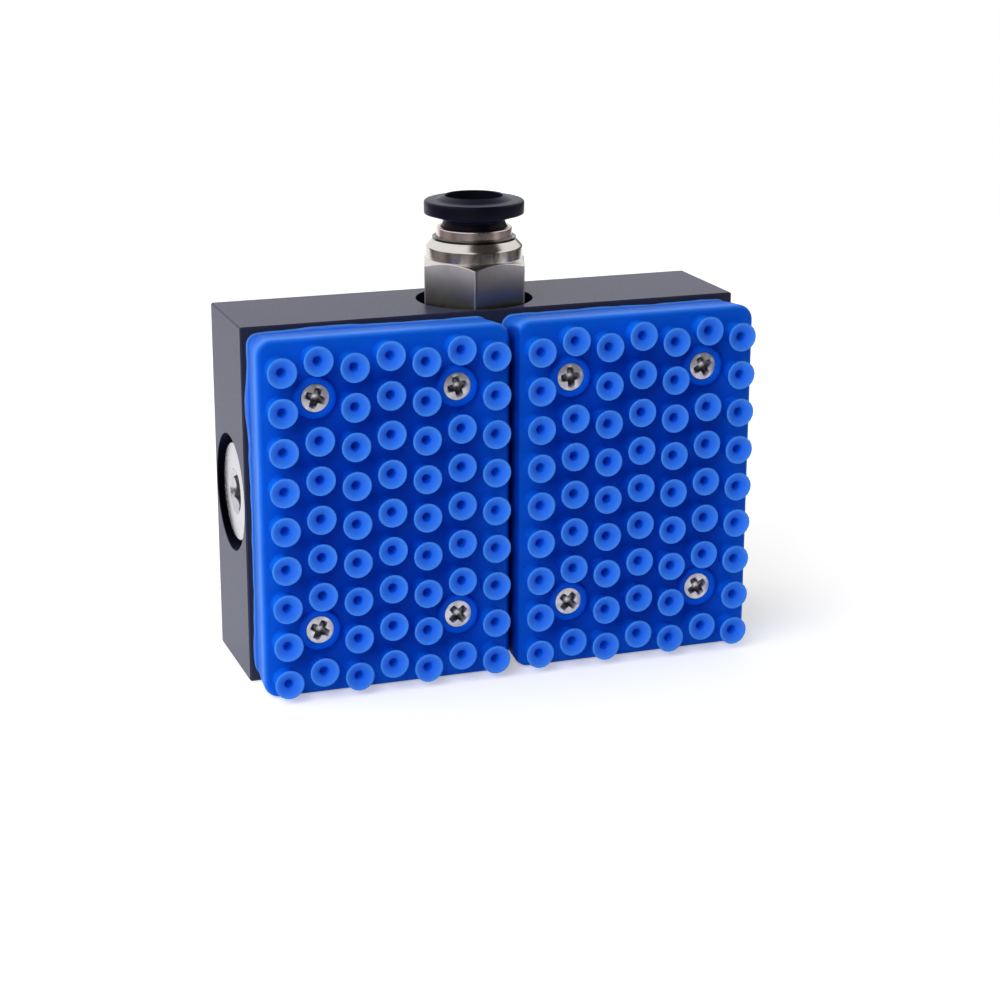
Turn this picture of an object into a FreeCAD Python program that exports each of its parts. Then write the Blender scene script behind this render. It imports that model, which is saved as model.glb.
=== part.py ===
"""Multi-nozzle suction cup: two moulded nozzle pads on a vacuum manifold block.

The frame has +Z up, the suction face towards -Y and +X to the right of someone who
faces the nozzles. The origin is the middle of the block's base, under the tube fitting.
"""
import FreeCAD
import Part
import Sketcher
import math
import os

# Driving sizes in millimetres, angles in degrees
SIZES = {
    # Manifold block
    "block_width": 72.0,
    "block_depth": 17.4,
    "block_height": 50.4,
    "block_bevel": 0.2,
    "port_recess_diameter": 16.6,
    "port_recess_depth": 4.4,
    "port_thread_diameter": 9.73,
    "port_thread_depth": 10.0,
    "riser_diameter": 6.0,
    "gallery_diameter": 7.0,
    "feed_diameter": 5.0,
    "rear_hole_diameter": 3.3,
    "rear_hole_depth": 8.0,
    "rear_hole_spacing_wide": 40.0,
    "rear_hole_spacing_high": 30.0,
    # Nozzle pads
    "pad_width": 35.4,
    "pad_height": 50.0,
    "pad_gap": 0.8,
    "pad_thickness": 7.8,
    "pad_corner": 2.0,
    "pad_bevel": 0.6,
    "chamber_depth": 3.0,
    "chamber_land": 2.5,
    "chamber_corner": 1.5,
    "screw_post_diameter": 6.0,
    "column_pitch": 4.95,
    "row_pitch": 5.42,
    "column_stagger": 1.22,
    "nozzle_height": 2.7,
    "nozzle_root_diameter": 3.4,
    "nozzle_lip_diameter": 4.1,
    "nozzle_dish_depth": 0.7,
    "nozzle_bore_diameter": 1.0,
    "boss_diameter": 6.2,
    "boss_height": 0.9,
    # Pad screws
    "screw_diameter": 2.0,
    "screw_head_diameter": 3.8,
    "screw_head_rim": 0.2,
    "screw_head_sink": 0.5,
    "screw_length": 14.0,
    "screw_hole_spare": 1.0,
    "screw_clearance": 0.05,
    "recess_arm_width": 0.6,
    "recess_span": 2.2,
    "recess_depth": 0.8,
    # Threads and seals that both ports share
    "thread_clearance": 0.05,
    "stub_length": 8.0,
    "seal_diameter": 13.0,
    "seal_thickness": 0.8,
    # Tube fitting
    "fitting_turn": 12.0,
    "hex_flats": 14.0,
    "hex_height": 9.2,
    "hex_corner_angle": 30.0,
    "shoulder_diameter": 13.6,
    "shoulder_height": 1.8,
    "shoulder_cone_height": 1.4,
    "rim_diameter": 11.8,
    "passage_diameter": 6.0,
    "tube_diameter": 8.0,
    "tube_clearance": 0.05,
    "tube_stop_height": 1.0,
    "cartridge_floor_height": 4.4,
    "cartridge_clearance": 0.03,
    "tube_seal_height": 2.6,
    "tube_seal_rim_height": 1.1,
    "claw_thickness": 0.3,
    "claw_rim_width": 0.5,
    "claw_drop": 0.8,
    "claw_slit": 0.5,
    "guide_ring_diameter": 10.64,
    "guide_ring_rise": 1.45,
    "guide_ledge_height": 2.0,
    # Release sleeve
    "sleeve_diameter": 9.2,
    "sleeve_clearance": 0.1,
    "sleeve_bead": 0.3,
    "sleeve_bead_height": 1.0,
    "sleeve_nose_height": 1.5,
    "sleeve_nose_inset": 0.25,
    "sleeve_travel": 1.0,
    "flange_diameter": 14.1,
    "flange_underside_rise": 1.0,
    "flange_edge_height": 1.5,
    "flange_top_rise": 0.75,
    # Side port plug
    "plug_flange_diameter": 14.0,
    "plug_flange_thickness": 2.9,
    "plug_bevel": 0.4,
    "plug_socket_flats": 5.0,
    "plug_socket_depth": 4.0,
}

# The nozzle grid: columns 1, 3 and 5 stand higher by the stagger, and four places hold screws
PAD_SIDES = {"left": -1, "right": 1}
COLUMNS = 7
ROWS = 9
SCREW_COLUMNS = (1, 5)
SCREW_ROWS = (1, 7)

# Flat sides that stand for round on the small posts and screws, which repeat many times
NOZZLE_SIDES = 8
NOZZLE_BORE_SIDES = 4
SCREW_SIDES = 12

CLAW_FINGERS = 6
HEX_SIDES = 6

# Places that several pieces share, as expressions on the sheet
FRONT = "(sizes.block_depth / 2)"
MIDDLE = "(sizes.block_height / 2)"
PAD_PITCH = "(sizes.pad_width + sizes.pad_gap)"
SCREW_X = "(2 * sizes.column_pitch)"
SCREW_Z = "(3 * sizes.row_pitch)"
SCREW_LIFT = "(sizes.column_stagger / 2)"
SCREW_HEAD = "(sizes.pad_thickness + sizes.boss_height - sizes.screw_head_sink)"
SCREW_HOLE = "(sizes.screw_diameter + 2 * sizes.screw_clearance)"
STUB = "(sizes.port_thread_diameter / 2 - sizes.thread_clearance)"
PORT_SEAT = "(sizes.block_height - sizes.port_recess_depth)"
FITTING_SEAT = f"({PORT_SEAT} + sizes.seal_thickness)"
PLUG_SEAT = "(sizes.block_width / 2 - sizes.port_recess_depth + sizes.seal_thickness)"

# Heights inside the fitting, above the underside of its hex
TUBE_BORE = "(sizes.tube_diameter / 2 + sizes.tube_clearance)"
CARTRIDGE = "(sizes.guide_ring_diameter / 2)"
SEAL_STEP = "(sizes.cartridge_floor_height + sizes.tube_seal_height)"
CLAW_LOW = f"({SEAL_STEP} + sizes.tube_seal_rim_height)"
CLAW_TOP = f"({CLAW_LOW} + sizes.claw_thickness)"
CLAW_ROOT = f"({CARTRIDGE} - sizes.claw_rim_width)"
CONE_LOW = "(sizes.hex_height + sizes.shoulder_height)"
RIM_TOP = f"({CONE_LOW} + sizes.shoulder_cone_height)"
RING_TOP = f"({RIM_TOP} + sizes.guide_ring_rise)"
RING_LEDGE = f"({RING_TOP} - sizes.guide_ledge_height)"
SLEEVE = "(sizes.sleeve_diameter / 2)"
BEAD = f"({SLEEVE} + sizes.sleeve_bead)"
HEX_CORNER = "(sizes.hex_flats / 2 / cos(30))"


class Model:
    """The document, its sheet of sizes and the sub-parts to be written out."""

    def __init__(self):
        self.doc = FreeCAD.newDocument("suction_cup")
        self.sheet = self.doc.addObject("Spreadsheet::Sheet", "sizes")
        for row, (name, size) in enumerate(SIZES.items(), start=1):
            self.sheet.set(f"A{row}", name)
            self.sheet.set(f"B{row}", str(size))
            self.sheet.setAlias(f"B{row}", name)
        self.doc.recompute()
        self.nodes = []

    def value(self, expression):
        """The number that an expression on the sheet gives now."""
        return float(self.sheet.evalExpression(expression))

    def body(self, label):
        """A new body that is a sub-part of its own."""
        body = self.doc.addObject("PartDesign::Body", label)
        body.Label = label
        self.nodes.append(body)
        return body

    def place(self, part, x="0", y="0", z="0"):
        """Bind a sub-part's place to expressions."""
        for axis, expression in zip("xyz", (x, y, z)):
            part.setExpression(f"Placement.Base.{axis}", expression)

    def sketch(self, body, name, plane, shift=("0", "0", "0")):
        """A sketch on one of the body's origin planes, shifted in the plane's own axes."""
        sketch = body.newObject("Sketcher::SketchObject", f"{body.Label}_{name}")
        sketch.AttachmentSupport = [(origin_feature(body, plane), "")]
        sketch.MapMode = "FlatFace"
        for axis, expression in zip("xyz", shift):
            sketch.setExpression(f"AttachmentOffset.Base.{axis}", expression)
        return sketch

    def tie(self, sketch, kind, geometry, point, expression):
        """Measure a sketch point from the sketch's origin along one axis."""
        constraint = Sketcher.Constraint(kind, -1, 1, geometry, point, self.value(expression))
        index = sketch.addConstraint(constraint)
        sketch.setExpression(f"Constraints[{index}]", expression)

    def outline(self, sketch, points):
        """Add a closed outline of straight lines through points given as expressions."""
        first = sketch.GeometryCount
        count = len(points)
        spots = [FreeCAD.Vector(self.value(x), self.value(y), 0) for x, y in points]
        for i in range(count):
            sketch.addGeometry(Part.LineSegment(spots[i], spots[(i + 1) % count]), False)
        for i, (x, y) in enumerate(points):
            following = first + (i + 1) % count
            sketch.addConstraint(Sketcher.Constraint("Coincident", first + i, 2, following, 1))
            self.tie(sketch, "DistanceX", first + i, 1, x)
            self.tie(sketch, "DistanceY", first + i, 1, y)

    def circle(self, sketch, diameter, x="0", y="0"):
        """Add a circle whose centre and diameter are expressions."""
        centre = FreeCAD.Vector(self.value(x), self.value(y), 0)
        up = FreeCAD.Vector(0, 0, 1)
        index = sketch.addGeometry(Part.Circle(centre, up, self.value(diameter) / 2), False)
        self.tie(sketch, "DistanceX", index, 3, x)
        self.tie(sketch, "DistanceY", index, 3, y)
        bound = sketch.addConstraint(Sketcher.Constraint("Diameter", index, self.value(diameter)))
        sketch.setExpression(f"Constraints[{bound}]", diameter)

    def pad(self, body, sketch, length):
        """Raise a sketch along its plane's normal."""
        feature = body.newObject("PartDesign::Pad", f"{sketch.Label}_pad")
        feature.Profile = sketch
        feature.setExpression("Length", length)
        self.doc.recompute()
        return feature

    def pocket(self, body, sketch, depth, along_normal=False):
        """Cut a sketch into the body, against its plane's normal unless told otherwise."""
        before = body.Tip.Shape.Volume
        feature = body.newObject("PartDesign::Pocket", f"{sketch.Label}_pocket")
        feature.Profile = sketch
        feature.Reversed = along_normal
        feature.setExpression("Length", depth)
        self.doc.recompute()
        if feature.Shape.isNull() or feature.Shape.Volume >= before:
            raise ValueError(f"{feature.Label} cuts nothing")
        return feature

    def turn(self, body, profile, plane="XZ_Plane", shift=("0", "0", "0")):
        """Turn a closed profile of (radius, height) expressions about the sketch's upright axis."""
        sketch = self.sketch(body, "profile", plane, shift)
        self.outline(sketch, profile)
        feature = body.newObject("PartDesign::Revolution", f"{body.Label}_turned")
        feature.Profile = sketch
        feature.ReferenceAxis = (sketch, ["V_Axis"])
        feature.Angle = 360
        self.doc.recompute()
        return feature

    def edge_dressing(self, body, kind, name, base, keep, size):
        """Fillet or chamfer the edges of a feature that a test picks out."""
        edges = [f"Edge{i}" for i, edge in enumerate(base.Shape.Edges, start=1) if keep(edge)]
        feature = body.newObject(f"PartDesign::{kind}", f"{body.Label}_{name}")
        feature.Base = (base, edges)
        feature.setExpression("Radius" if kind == "Fillet" else "Size", size)
        self.doc.recompute()
        return feature

    def write(self):
        """Check every object and write each sub-part to its own file."""
        self.doc.recompute()
        failed = [o.Label for o in self.doc.Objects if {"Invalid", "Error"} & set(o.State)]
        if failed:
            raise ValueError(f"failed objects: {failed}")
        for node in self.nodes:
            if node.Shape.isNull() or not node.Shape.isValid() or not node.Shape.Solids:
                raise ValueError(f"{node.Label} has no valid solid")
        os.makedirs("parts", exist_ok=True)
        for node in self.nodes:
            node.Shape.exportStep(f"parts/{node.Label}.step")


def origin_feature(body, role):
    """One of a body's own origin planes or axes."""
    return next(item for item in body.Origin.OriginFeatures if item.Role == role)


def runs_along(edge, axis):
    """Whether an edge is a straight run along an axis."""
    return edge.Curve.TypeId == "Part::GeomLine" and abs(edge.Curve.Direction.dot(axis)) > 0.999


def rectangle(width, height, x="0", y="0"):
    """The corners of a rectangle about a centre, as expressions."""
    signs = ((-1, -1), (1, -1), (1, 1), (-1, 1))
    return [(f"{x} + {a} * {width} / 2", f"{y} + {b} * {height} / 2") for a, b in signs]


def polygon(sides, flats, turn="0", x="0", y="0"):
    """The corners of a regular polygon by its width across flats, as expressions."""
    angles = [f"({turn} + {360 * k / sides})" for k in range(sides)]
    reach = f"({flats} / 2 / cos({180 / sides}))"
    return [(f"{x} + {reach} * cos({a})", f"{y} + {reach} * sin({a})") for a in angles]


def ring_profile(inner, outer, low, high):
    """The section of a plain ring."""
    return [(inner, low), (outer, low), (outer, high), (inner, high)]


def pad_screw_places():
    """The four screws' places on a pad, from its middle, as expressions."""
    signs = [(across, up) for across in (-1, 1) for up in (-1, 1)]
    return [(f"{across} * {SCREW_X}", f"{SCREW_LIFT} + {up} * {SCREW_Z}") for across, up in signs]


def build_block(model):
    """The milled block with its two ports, its galleries and its screw holes."""
    body = model.body("manifold_block")
    base = model.sketch(body, "base", "XY_Plane")
    model.outline(base, rectangle("sizes.block_width", "sizes.block_depth"))
    raised = model.pad(body, base, "sizes.block_height")
    model.edge_dressing(body, "Chamfer", "bevel", raised, lambda edge: True, "sizes.block_bevel")
    cut_ports(model, body)
    cut_fixing_holes(model, body)


def cut_ports(model, body):
    """The tube port in the top, the plugged port in the left side and the ways from them to the pads."""
    top = ("XY_Plane", ("0", "0", "sizes.block_height"), "0", False)
    side = ("YZ_Plane", ("0", "0", "-sizes.block_width / 2"), MIDDLE, True)
    thread_reach = "sizes.port_recess_depth + sizes.port_thread_depth"
    gallery_reach = f"sizes.block_width / 2 + {PAD_PITCH} / 2 + sizes.feed_diameter"
    bores = (
        ("top_recess", top, "sizes.port_recess_diameter", "sizes.port_recess_depth"),
        ("side_recess", side, "sizes.port_recess_diameter", "sizes.port_recess_depth"),
        ("top_thread", top, "sizes.port_thread_diameter", thread_reach),
        ("side_thread", side, "sizes.port_thread_diameter", thread_reach),
        ("riser", top, "sizes.riser_diameter", MIDDLE),
        ("gallery", side, "sizes.gallery_diameter", gallery_reach),
    )
    for name, (plane, shift, height, along_normal), diameter, depth in bores:
        sketch = model.sketch(body, name, plane, shift)
        model.circle(sketch, diameter, "0", height)
        model.pocket(body, sketch, depth, along_normal)
    feeds = model.sketch(body, "feeds", "XZ_Plane", ("0", "0", FRONT))
    for pad_side in PAD_SIDES.values():
        model.circle(feeds, "sizes.feed_diameter", f"{pad_side} * {PAD_PITCH} / 2", MIDDLE)
    model.pocket(body, feeds, FRONT)


def cut_fixing_holes(model, body):
    """Tapped holes for the pad screws in front and for the carrier's screws behind."""
    front = model.sketch(body, "screw_holes", "XZ_Plane", ("0", "0", FRONT))
    for pad_side in PAD_SIDES.values():
        for x, z in pad_screw_places():
            place = (f"{pad_side} * {PAD_PITCH} / 2 + {x}", f"{MIDDLE} + {z}")
            model.outline(front, polygon(SCREW_SIDES, SCREW_HOLE, "0", *place))
    model.pocket(body, front, f"sizes.screw_length - {SCREW_HEAD} + sizes.screw_hole_spare")
    rear = model.sketch(body, "rear_holes", "XZ_Plane", ("0", "0", f"-{FRONT}"))
    for across in (-1, 1):
        for up in (-1, 1):
            x = f"{across} * sizes.rear_hole_spacing_wide / 2"
            z = f"{MIDDLE} + {up} * sizes.rear_hole_spacing_high / 2"
            model.circle(rear, "sizes.rear_hole_diameter", x, z)
    model.pocket(body, rear, "sizes.rear_hole_depth", along_normal=True)


def flat_sided_cone(radius, low, tip_radius, high, sides):
    """A tapered post along -Y with flat sides, its radii measured to the flats."""
    def ring(flat_radius, height):
        reach = flat_radius / math.cos(math.pi / sides)
        angles = [2 * math.pi * k / sides for k in range(sides)]
        return [FreeCAD.Vector(reach * math.cos(a), -height, reach * math.sin(a)) for a in angles]

    def flat(points):
        return Part.Face(Part.makePolygon(points + points[:1]))

    near, far = ring(radius, low), ring(tip_radius, high)
    walls = []
    for k in range(sides):
        n = (k + 1) % sides
        walls.append(flat([near[k], near[n], far[n], far[k]]))
    return Part.makeSolid(Part.makeShell(walls + [flat(near), flat(far)]))


def nozzle_shape(model):
    """One nozzle: a stem that flares to its lip, dished to a bore through the middle."""
    floor = model.value("sizes.pad_thickness")
    tip = floor + model.value("sizes.nozzle_height")
    root = model.value("sizes.nozzle_root_diameter / 2")
    lip = model.value("sizes.nozzle_lip_diameter / 2")
    bore = model.value("sizes.nozzle_bore_diameter / 2")
    dish = model.value("sizes.nozzle_dish_depth")
    point = bore / 2
    point_depth = dish * (lip - point) / (lip - bore)
    stem = flat_sided_cone(root, floor, lip, tip, NOZZLE_SIDES)
    hollow = flat_sided_cone(point, tip - point_depth, lip, tip, NOZZLE_SIDES)
    hole = flat_sided_cone(bore, floor - dish, bore, tip - dish / 2, NOZZLE_BORE_SIDES)
    return stem.cut(hollow).cut(hole)


def boss_shape(model):
    """The raised ring round a screw, dished down to the seat of the screw's head."""
    floor = model.value("sizes.pad_thickness")
    top = floor + model.value("sizes.boss_height")
    radius = model.value("sizes.boss_diameter / 2")
    clearance = model.value("sizes.screw_clearance")
    head = model.value("sizes.screw_head_diameter / 2") + clearance
    head_top = model.value(SCREW_HEAD)
    head_low = head_top - model.value("sizes.screw_head_rim")
    ring = flat_sided_cone(radius, floor, radius, top, SCREW_SIDES)
    dish = flat_sided_cone(head, head_top, radius, top, SCREW_SIDES)
    seat = flat_sided_cone(head, head_low, head, head_top, SCREW_SIDES)
    return ring.cut(dish).cut(seat).cut(screw_way(model))


def screw_way(model):
    """The hole that a screw and its conical head fill in the pad, below the head's rim."""
    clearance = model.value("sizes.screw_clearance")
    shank = model.value("sizes.screw_diameter / 2") + clearance
    head = model.value("sizes.screw_head_diameter / 2") + clearance
    head_low = model.value(f"{SCREW_HEAD} - sizes.screw_head_rim")
    cone_low = head_low - (head - shank)
    hole = flat_sided_cone(shank, 0, shank, cone_low, SCREW_SIDES)
    cone = flat_sided_cone(shank, cone_low, head, head_low, SCREW_SIDES)
    return hole.fuse(cone)


def grid_places(model):
    """The nozzles' and the screws' places on a pad, as two lists of vectors."""
    across = model.value("sizes.column_pitch")
    down = model.value("sizes.row_pitch")
    lift = model.value(SCREW_LIFT)
    nozzles, screws = [], []
    for column in range(COLUMNS):
        for row in range(ROWS):
            x = (column - COLUMNS // 2) * across
            z = (ROWS // 2 - row) * down + (lift if column % 2 else -lift)
            taken = column in SCREW_COLUMNS and row in SCREW_ROWS
            (screws if taken else nozzles).append(FreeCAD.Vector(x, 0, z))
    return nozzles, screws


def shape_object(model, name, shape):
    """A document object that holds a shape made in code."""
    part = model.doc.addObject("Part::Feature", name)
    part.Shape = shape
    return part


def build_pad_slab(model):
    """A pad without its nozzles: a rounded slab, hollowed behind into a vacuum chamber."""
    slab = model.doc.addObject("PartDesign::Body", "pad_slab")
    face = model.sketch(slab, "face", "XZ_Plane")
    model.outline(face, rectangle("sizes.pad_width", "sizes.pad_height"))
    raised = model.pad(slab, face, "sizes.pad_thickness")

    def along_depth(edge):
        return runs_along(edge, FreeCAD.Vector(0, 1, 0))

    def on_front(edge):
        return abs(edge.BoundBox.YMax + model.value("sizes.pad_thickness")) < 0.001

    rounded = model.edge_dressing(slab, "Fillet", "corners", raised, along_depth, "sizes.pad_corner")
    model.edge_dressing(slab, "Chamfer", "bevel", rounded, on_front, "sizes.pad_bevel")

    width = "(sizes.pad_width - 2 * sizes.chamber_land)"
    height = "(sizes.pad_height - 2 * sizes.chamber_land)"
    sketch = model.sketch(slab, "chamber", "XZ_Plane")
    model.outline(sketch, rectangle(width, height))
    for x, z in pad_screw_places():
        model.outline(sketch, polygon(SCREW_SIDES, "sizes.screw_post_diameter", "0", x, z))
    chamber = model.pocket(slab, sketch, "sizes.chamber_depth", along_normal=True)

    def chamber_corner(edge):
        on_wall = abs(abs(edge.CenterOfMass.x) - model.value(f"{width} / 2")) < 0.001
        return along_depth(edge) and on_wall

    model.edge_dressing(slab, "Fillet", "chamber_corner", chamber, chamber_corner, "sizes.chamber_corner")
    return slab


def build_pads(model):
    """The two nozzle pads, the same moulding twice, side by side on the block's front."""
    nozzles, screws = grid_places(model)
    bore = model.value("sizes.nozzle_bore_diameter / 2")
    way = flat_sided_cone(bore, 0, bore, model.value("sizes.pad_thickness"), NOZZLE_BORE_SIDES)
    screw_hole = screw_way(model)
    ways = [way.translated(v) for v in nozzles] + [screw_hole.translated(v) for v in screws]
    nozzle, boss = nozzle_shape(model), boss_shape(model)
    posts = [nozzle.translated(v) for v in nozzles] + [boss.translated(v) for v in screws]

    bored = model.doc.addObject("Part::Cut", "bored_slab")
    bored.Base = build_pad_slab(model)
    bored.Tool = shape_object(model, "pad_ways", Part.makeCompound(ways))
    field = shape_object(model, "nozzle_field", posts[0].multiFuse(posts[1:]))
    for name, side in PAD_SIDES.items():
        pad = model.doc.addObject("Part::MultiFuse", f"{name}_nozzle_pad")
        pad.Label = f"{name}_nozzle_pad"
        pad.Shapes = [bored, field]
        pad.Refine = True
        model.place(pad, f"{side} * {PAD_PITCH} / 2", f"-{FRONT}", MIDDLE)
        model.nodes.append(pad)
    model.doc.recompute()


def build_screws(model):
    """Four countersunk cross-recess screws to each pad."""
    cone_height = "((sizes.screw_head_diameter - sizes.screw_diameter) / 2)"
    head_low = f"({SCREW_HEAD} - sizes.screw_head_rim - {cone_height})"
    place = (f"-{SCREW_X}", f"({SCREW_LIFT} + {SCREW_Z})")
    arm, span = "sizes.recess_arm_width / 2", "sizes.recess_span / 2"
    quarter = ((span, arm), (arm, arm), (arm, span))
    cross = []
    for a, b in ((1, 1), (-1, 1), (-1, -1), (1, -1)):
        corner = [(f"{place[0]} + {a} * {p}", f"{place[1]} + {b} * {q}") for p, q in quarter]
        cross += corner if a * b > 0 else corner[::-1]

    def under_head(edge):
        level = -model.value(head_low)
        return edge.BoundBox.YMin > level - 0.001 and edge.BoundBox.YMax < level + 0.001

    for name, side in PAD_SIDES.items():
        body = model.body(f"{name}_pad_screws")
        body.AllowCompound = True
        head = model.sketch(body, "head", "XZ_Plane", ("0", "0", head_low))
        model.outline(head, polygon(SCREW_SIDES, "sizes.screw_head_diameter", "0", *place))
        raised = model.pad(body, head, f"{cone_height} + sizes.screw_head_rim")
        model.edge_dressing(body, "Chamfer", "cone", raised, under_head, cone_height)
        shank = model.sketch(body, "shank", "XZ_Plane", ("0", "0", f"{SCREW_HEAD} - sizes.screw_length"))
        model.outline(shank, polygon(SCREW_SIDES, "sizes.screw_diameter", "0", *place))
        model.pad(body, shank, f"{head_low} - {SCREW_HEAD} + sizes.screw_length")
        recess = model.sketch(body, "recess", "XZ_Plane", ("0", "0", SCREW_HEAD))
        model.outline(recess, cross)
        model.pocket(body, recess, "sizes.recess_depth")
        repeat_screw(model, body)
        model.place(body, f"{side} * {PAD_PITCH} / 2", f"-{FRONT}", MIDDLE)
    model.doc.recompute()


def repeat_screw(model, body):
    """Carry a body's one screw to the four screw places of a pad."""
    pattern = body.newObject("PartDesign::LinearPattern", f"{body.Label}_pattern")
    pattern.TransformMode = "Whole shape"
    pattern.Direction = (origin_feature(body, "X_Axis"), [""])
    pattern.Mode = 1
    pattern.setExpression("Offset", f"2 * {SCREW_X}")
    pattern.Occurrences = len(SCREW_COLUMNS)
    pattern.Direction2 = (origin_feature(body, "Z_Axis"), [""])
    pattern.Reversed2 = True
    pattern.Mode2 = 1
    pattern.setExpression("Offset2", f"2 * {SCREW_Z}")
    pattern.Occurrences2 = len(SCREW_ROWS)
    # A spacing of -1 means that the step takes the pattern's own offset
    pattern.Spacings2 = [-1.0]
    body.Tip = pattern


def build_fitting_body(model):
    """The fitting's turned body: threaded stub, hex, shoulder and the bore for its cartridge."""
    body = model.body("fitting_body")
    passage = "sizes.passage_diameter / 2"
    bore = f"{CARTRIDGE} + sizes.cartridge_clearance"
    shoulder = "sizes.shoulder_diameter / 2"
    drop = f"({HEX_CORNER} - {shoulder}) * tan(sizes.hex_corner_angle)"
    profile = [
        (passage, "-sizes.stub_length"),
        (STUB, "-sizes.stub_length"),
        (STUB, "0"),
        (HEX_CORNER, "0"),
        (HEX_CORNER, f"sizes.hex_height - {drop}"),
        (shoulder, "sizes.hex_height"),
        (shoulder, CONE_LOW),
        ("sizes.rim_diameter / 2", RIM_TOP),
        (bore, RIM_TOP),
        (bore, "sizes.cartridge_floor_height"),
        (TUBE_BORE, "sizes.cartridge_floor_height"),
        (TUBE_BORE, "sizes.tube_stop_height"),
        (passage, "sizes.tube_stop_height"),
    ]
    model.turn(body, profile)
    flats = model.sketch(body, "flats", "XY_Plane")
    model.circle(flats, f"3 * {HEX_CORNER}")
    model.outline(flats, polygon(HEX_SIDES, "sizes.hex_flats", "sizes.fitting_turn"))
    model.pocket(body, flats, "sizes.hex_height", along_normal=True)
    model.place(body, z=FITTING_SEAT)


def build_cartridge(model):
    """What the fitting holds inside: tube seal, grip claw and guide ring."""
    seal = model.body("tube_seal")
    model.turn(seal, [
        (TUBE_BORE, "sizes.cartridge_floor_height"),
        (CARTRIDGE, "sizes.cartridge_floor_height"),
        (CARTRIDGE, CLAW_LOW),
        (CLAW_ROOT, CLAW_LOW),
        (CLAW_ROOT, SEAL_STEP),
        (TUBE_BORE, SEAL_STEP),
    ])

    claw = model.body("grip_claw")
    model.turn(claw, [
        (CARTRIDGE, CLAW_LOW),
        (CARTRIDGE, CLAW_TOP),
        (CLAW_ROOT, CLAW_TOP),
        (TUBE_BORE, f"{CLAW_TOP} - sizes.claw_drop"),
        (TUBE_BORE, f"{CLAW_LOW} - sizes.claw_drop"),
        (CLAW_ROOT, CLAW_LOW),
    ])
    slit = model.sketch(claw, "slit", "XY_Plane", ("0", "0", CLAW_TOP))
    half = "sizes.claw_slit / 2"
    inner = f"{TUBE_BORE} / 2"
    model.outline(slit, [
        (inner, f"-{half}"),
        (CLAW_ROOT, f"-{half}"),
        (CLAW_ROOT, half),
        (inner, half),
    ])
    cut = model.pocket(claw, slit, "2 * sizes.claw_drop")
    fingers = claw.newObject("PartDesign::PolarPattern", "claw_fingers")
    fingers.Originals = [cut]
    fingers.Axis = (origin_feature(claw, "Z_Axis"), [""])
    fingers.Angle = 360
    fingers.Occurrences = CLAW_FINGERS
    claw.Tip = fingers

    ring = model.body("guide_ring")
    guide = f"{SLEEVE} + sizes.sleeve_clearance"
    bead_room = f"{BEAD} + sizes.sleeve_clearance"
    model.turn(ring, [
        (bead_room, CLAW_TOP),
        (CARTRIDGE, CLAW_TOP),
        (CARTRIDGE, RING_TOP),
        (guide, RING_TOP),
        (guide, RING_LEDGE),
        (bead_room, RING_LEDGE),
    ])
    for part in (seal, claw, ring):
        model.place(part, z=FITTING_SEAT)


def build_release_sleeve(model):
    """The push-down collar, kept by a bead under the guide ring's ledge."""
    body = model.body("release_sleeve")
    bead_top = f"({RING_LEDGE} - sizes.sleeve_clearance)"
    bead_low = f"({bead_top} - sizes.sleeve_bead_height)"
    nose = f"({bead_low} - sizes.sleeve_nose_height)"
    underside = f"({RING_TOP} + sizes.sleeve_travel + sizes.sleeve_clearance)"
    edge_low = f"({underside} + sizes.flange_underside_rise)"
    edge_top = f"({edge_low} + sizes.flange_edge_height)"
    mouth = f"({edge_top} + sizes.flange_top_rise)"
    model.turn(body, [
        (TUBE_BORE, nose),
        (f"{SLEEVE} - sizes.sleeve_nose_inset", nose),
        (BEAD, bead_low),
        (BEAD, bead_top),
        (SLEEVE, bead_top),
        (SLEEVE, underside),
        ("sizes.flange_diameter / 2", edge_low),
        ("sizes.flange_diameter / 2", edge_top),
        (TUBE_BORE, mouth),
    ])
    model.place(body, z=FITTING_SEAT)


def build_plug(model):
    """The socket-head plug that closes the side port, and the seal under its flange."""
    plug = model.body("port_plug")
    flange = "sizes.plug_flange_diameter / 2"
    top = "sizes.plug_flange_thickness"
    model.turn(plug, [
        ("0", "-sizes.stub_length"),
        (STUB, "-sizes.stub_length"),
        (STUB, "0"),
        (flange, "0"),
        (flange, f"{top} - sizes.plug_bevel"),
        (f"{flange} - sizes.plug_bevel", top),
        ("0", top),
    ])
    socket = model.sketch(plug, "socket", "XY_Plane", ("0", "0", top))
    model.outline(socket, polygon(HEX_SIDES, "sizes.plug_socket_flats"))
    model.pocket(plug, socket, "sizes.plug_socket_depth")
    plug_seal = model.body("plug_seal")
    model.turn(plug_seal, port_seal_profile())
    for part in (plug, plug_seal):
        part.Placement.Rotation = FreeCAD.Rotation(FreeCAD.Vector(0, 1, 0), -90)
        model.place(part, f"-{PLUG_SEAT}", "0", MIDDLE)


def port_seal_profile():
    """The section of the flat seal that lies under the fitting's hex and under the plug's flange."""
    inner = "sizes.port_thread_diameter / 2"
    return ring_profile(inner, "sizes.seal_diameter / 2", "-sizes.seal_thickness", "0")


def build_fitting_seal(model):
    """The flat seal between the fitting's hex and the floor of its port."""
    seal = model.body("fitting_seal")
    model.turn(seal, port_seal_profile())
    model.place(seal, z=FITTING_SEAT)


def main():
    """Build every sub-part and write them all."""
    model = Model()
    build_block(model)
    build_pads(model)
    build_screws(model)
    build_fitting_body(model)
    build_fitting_seal(model)
    build_cartridge(model)
    build_release_sleeve(model)
    build_plug(model)
    model.write()


main()
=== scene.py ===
"""Looks of a multi-nozzle suction cup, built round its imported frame.

Sizes are in millimetres until a mesh is made. Heights on the pads run along -Y, heights on
the tube fitting along +Z and heights on the side plug along -X.
"""
import logging
import math
from dataclasses import dataclass
from enum import Enum
from typing import Sequence

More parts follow.
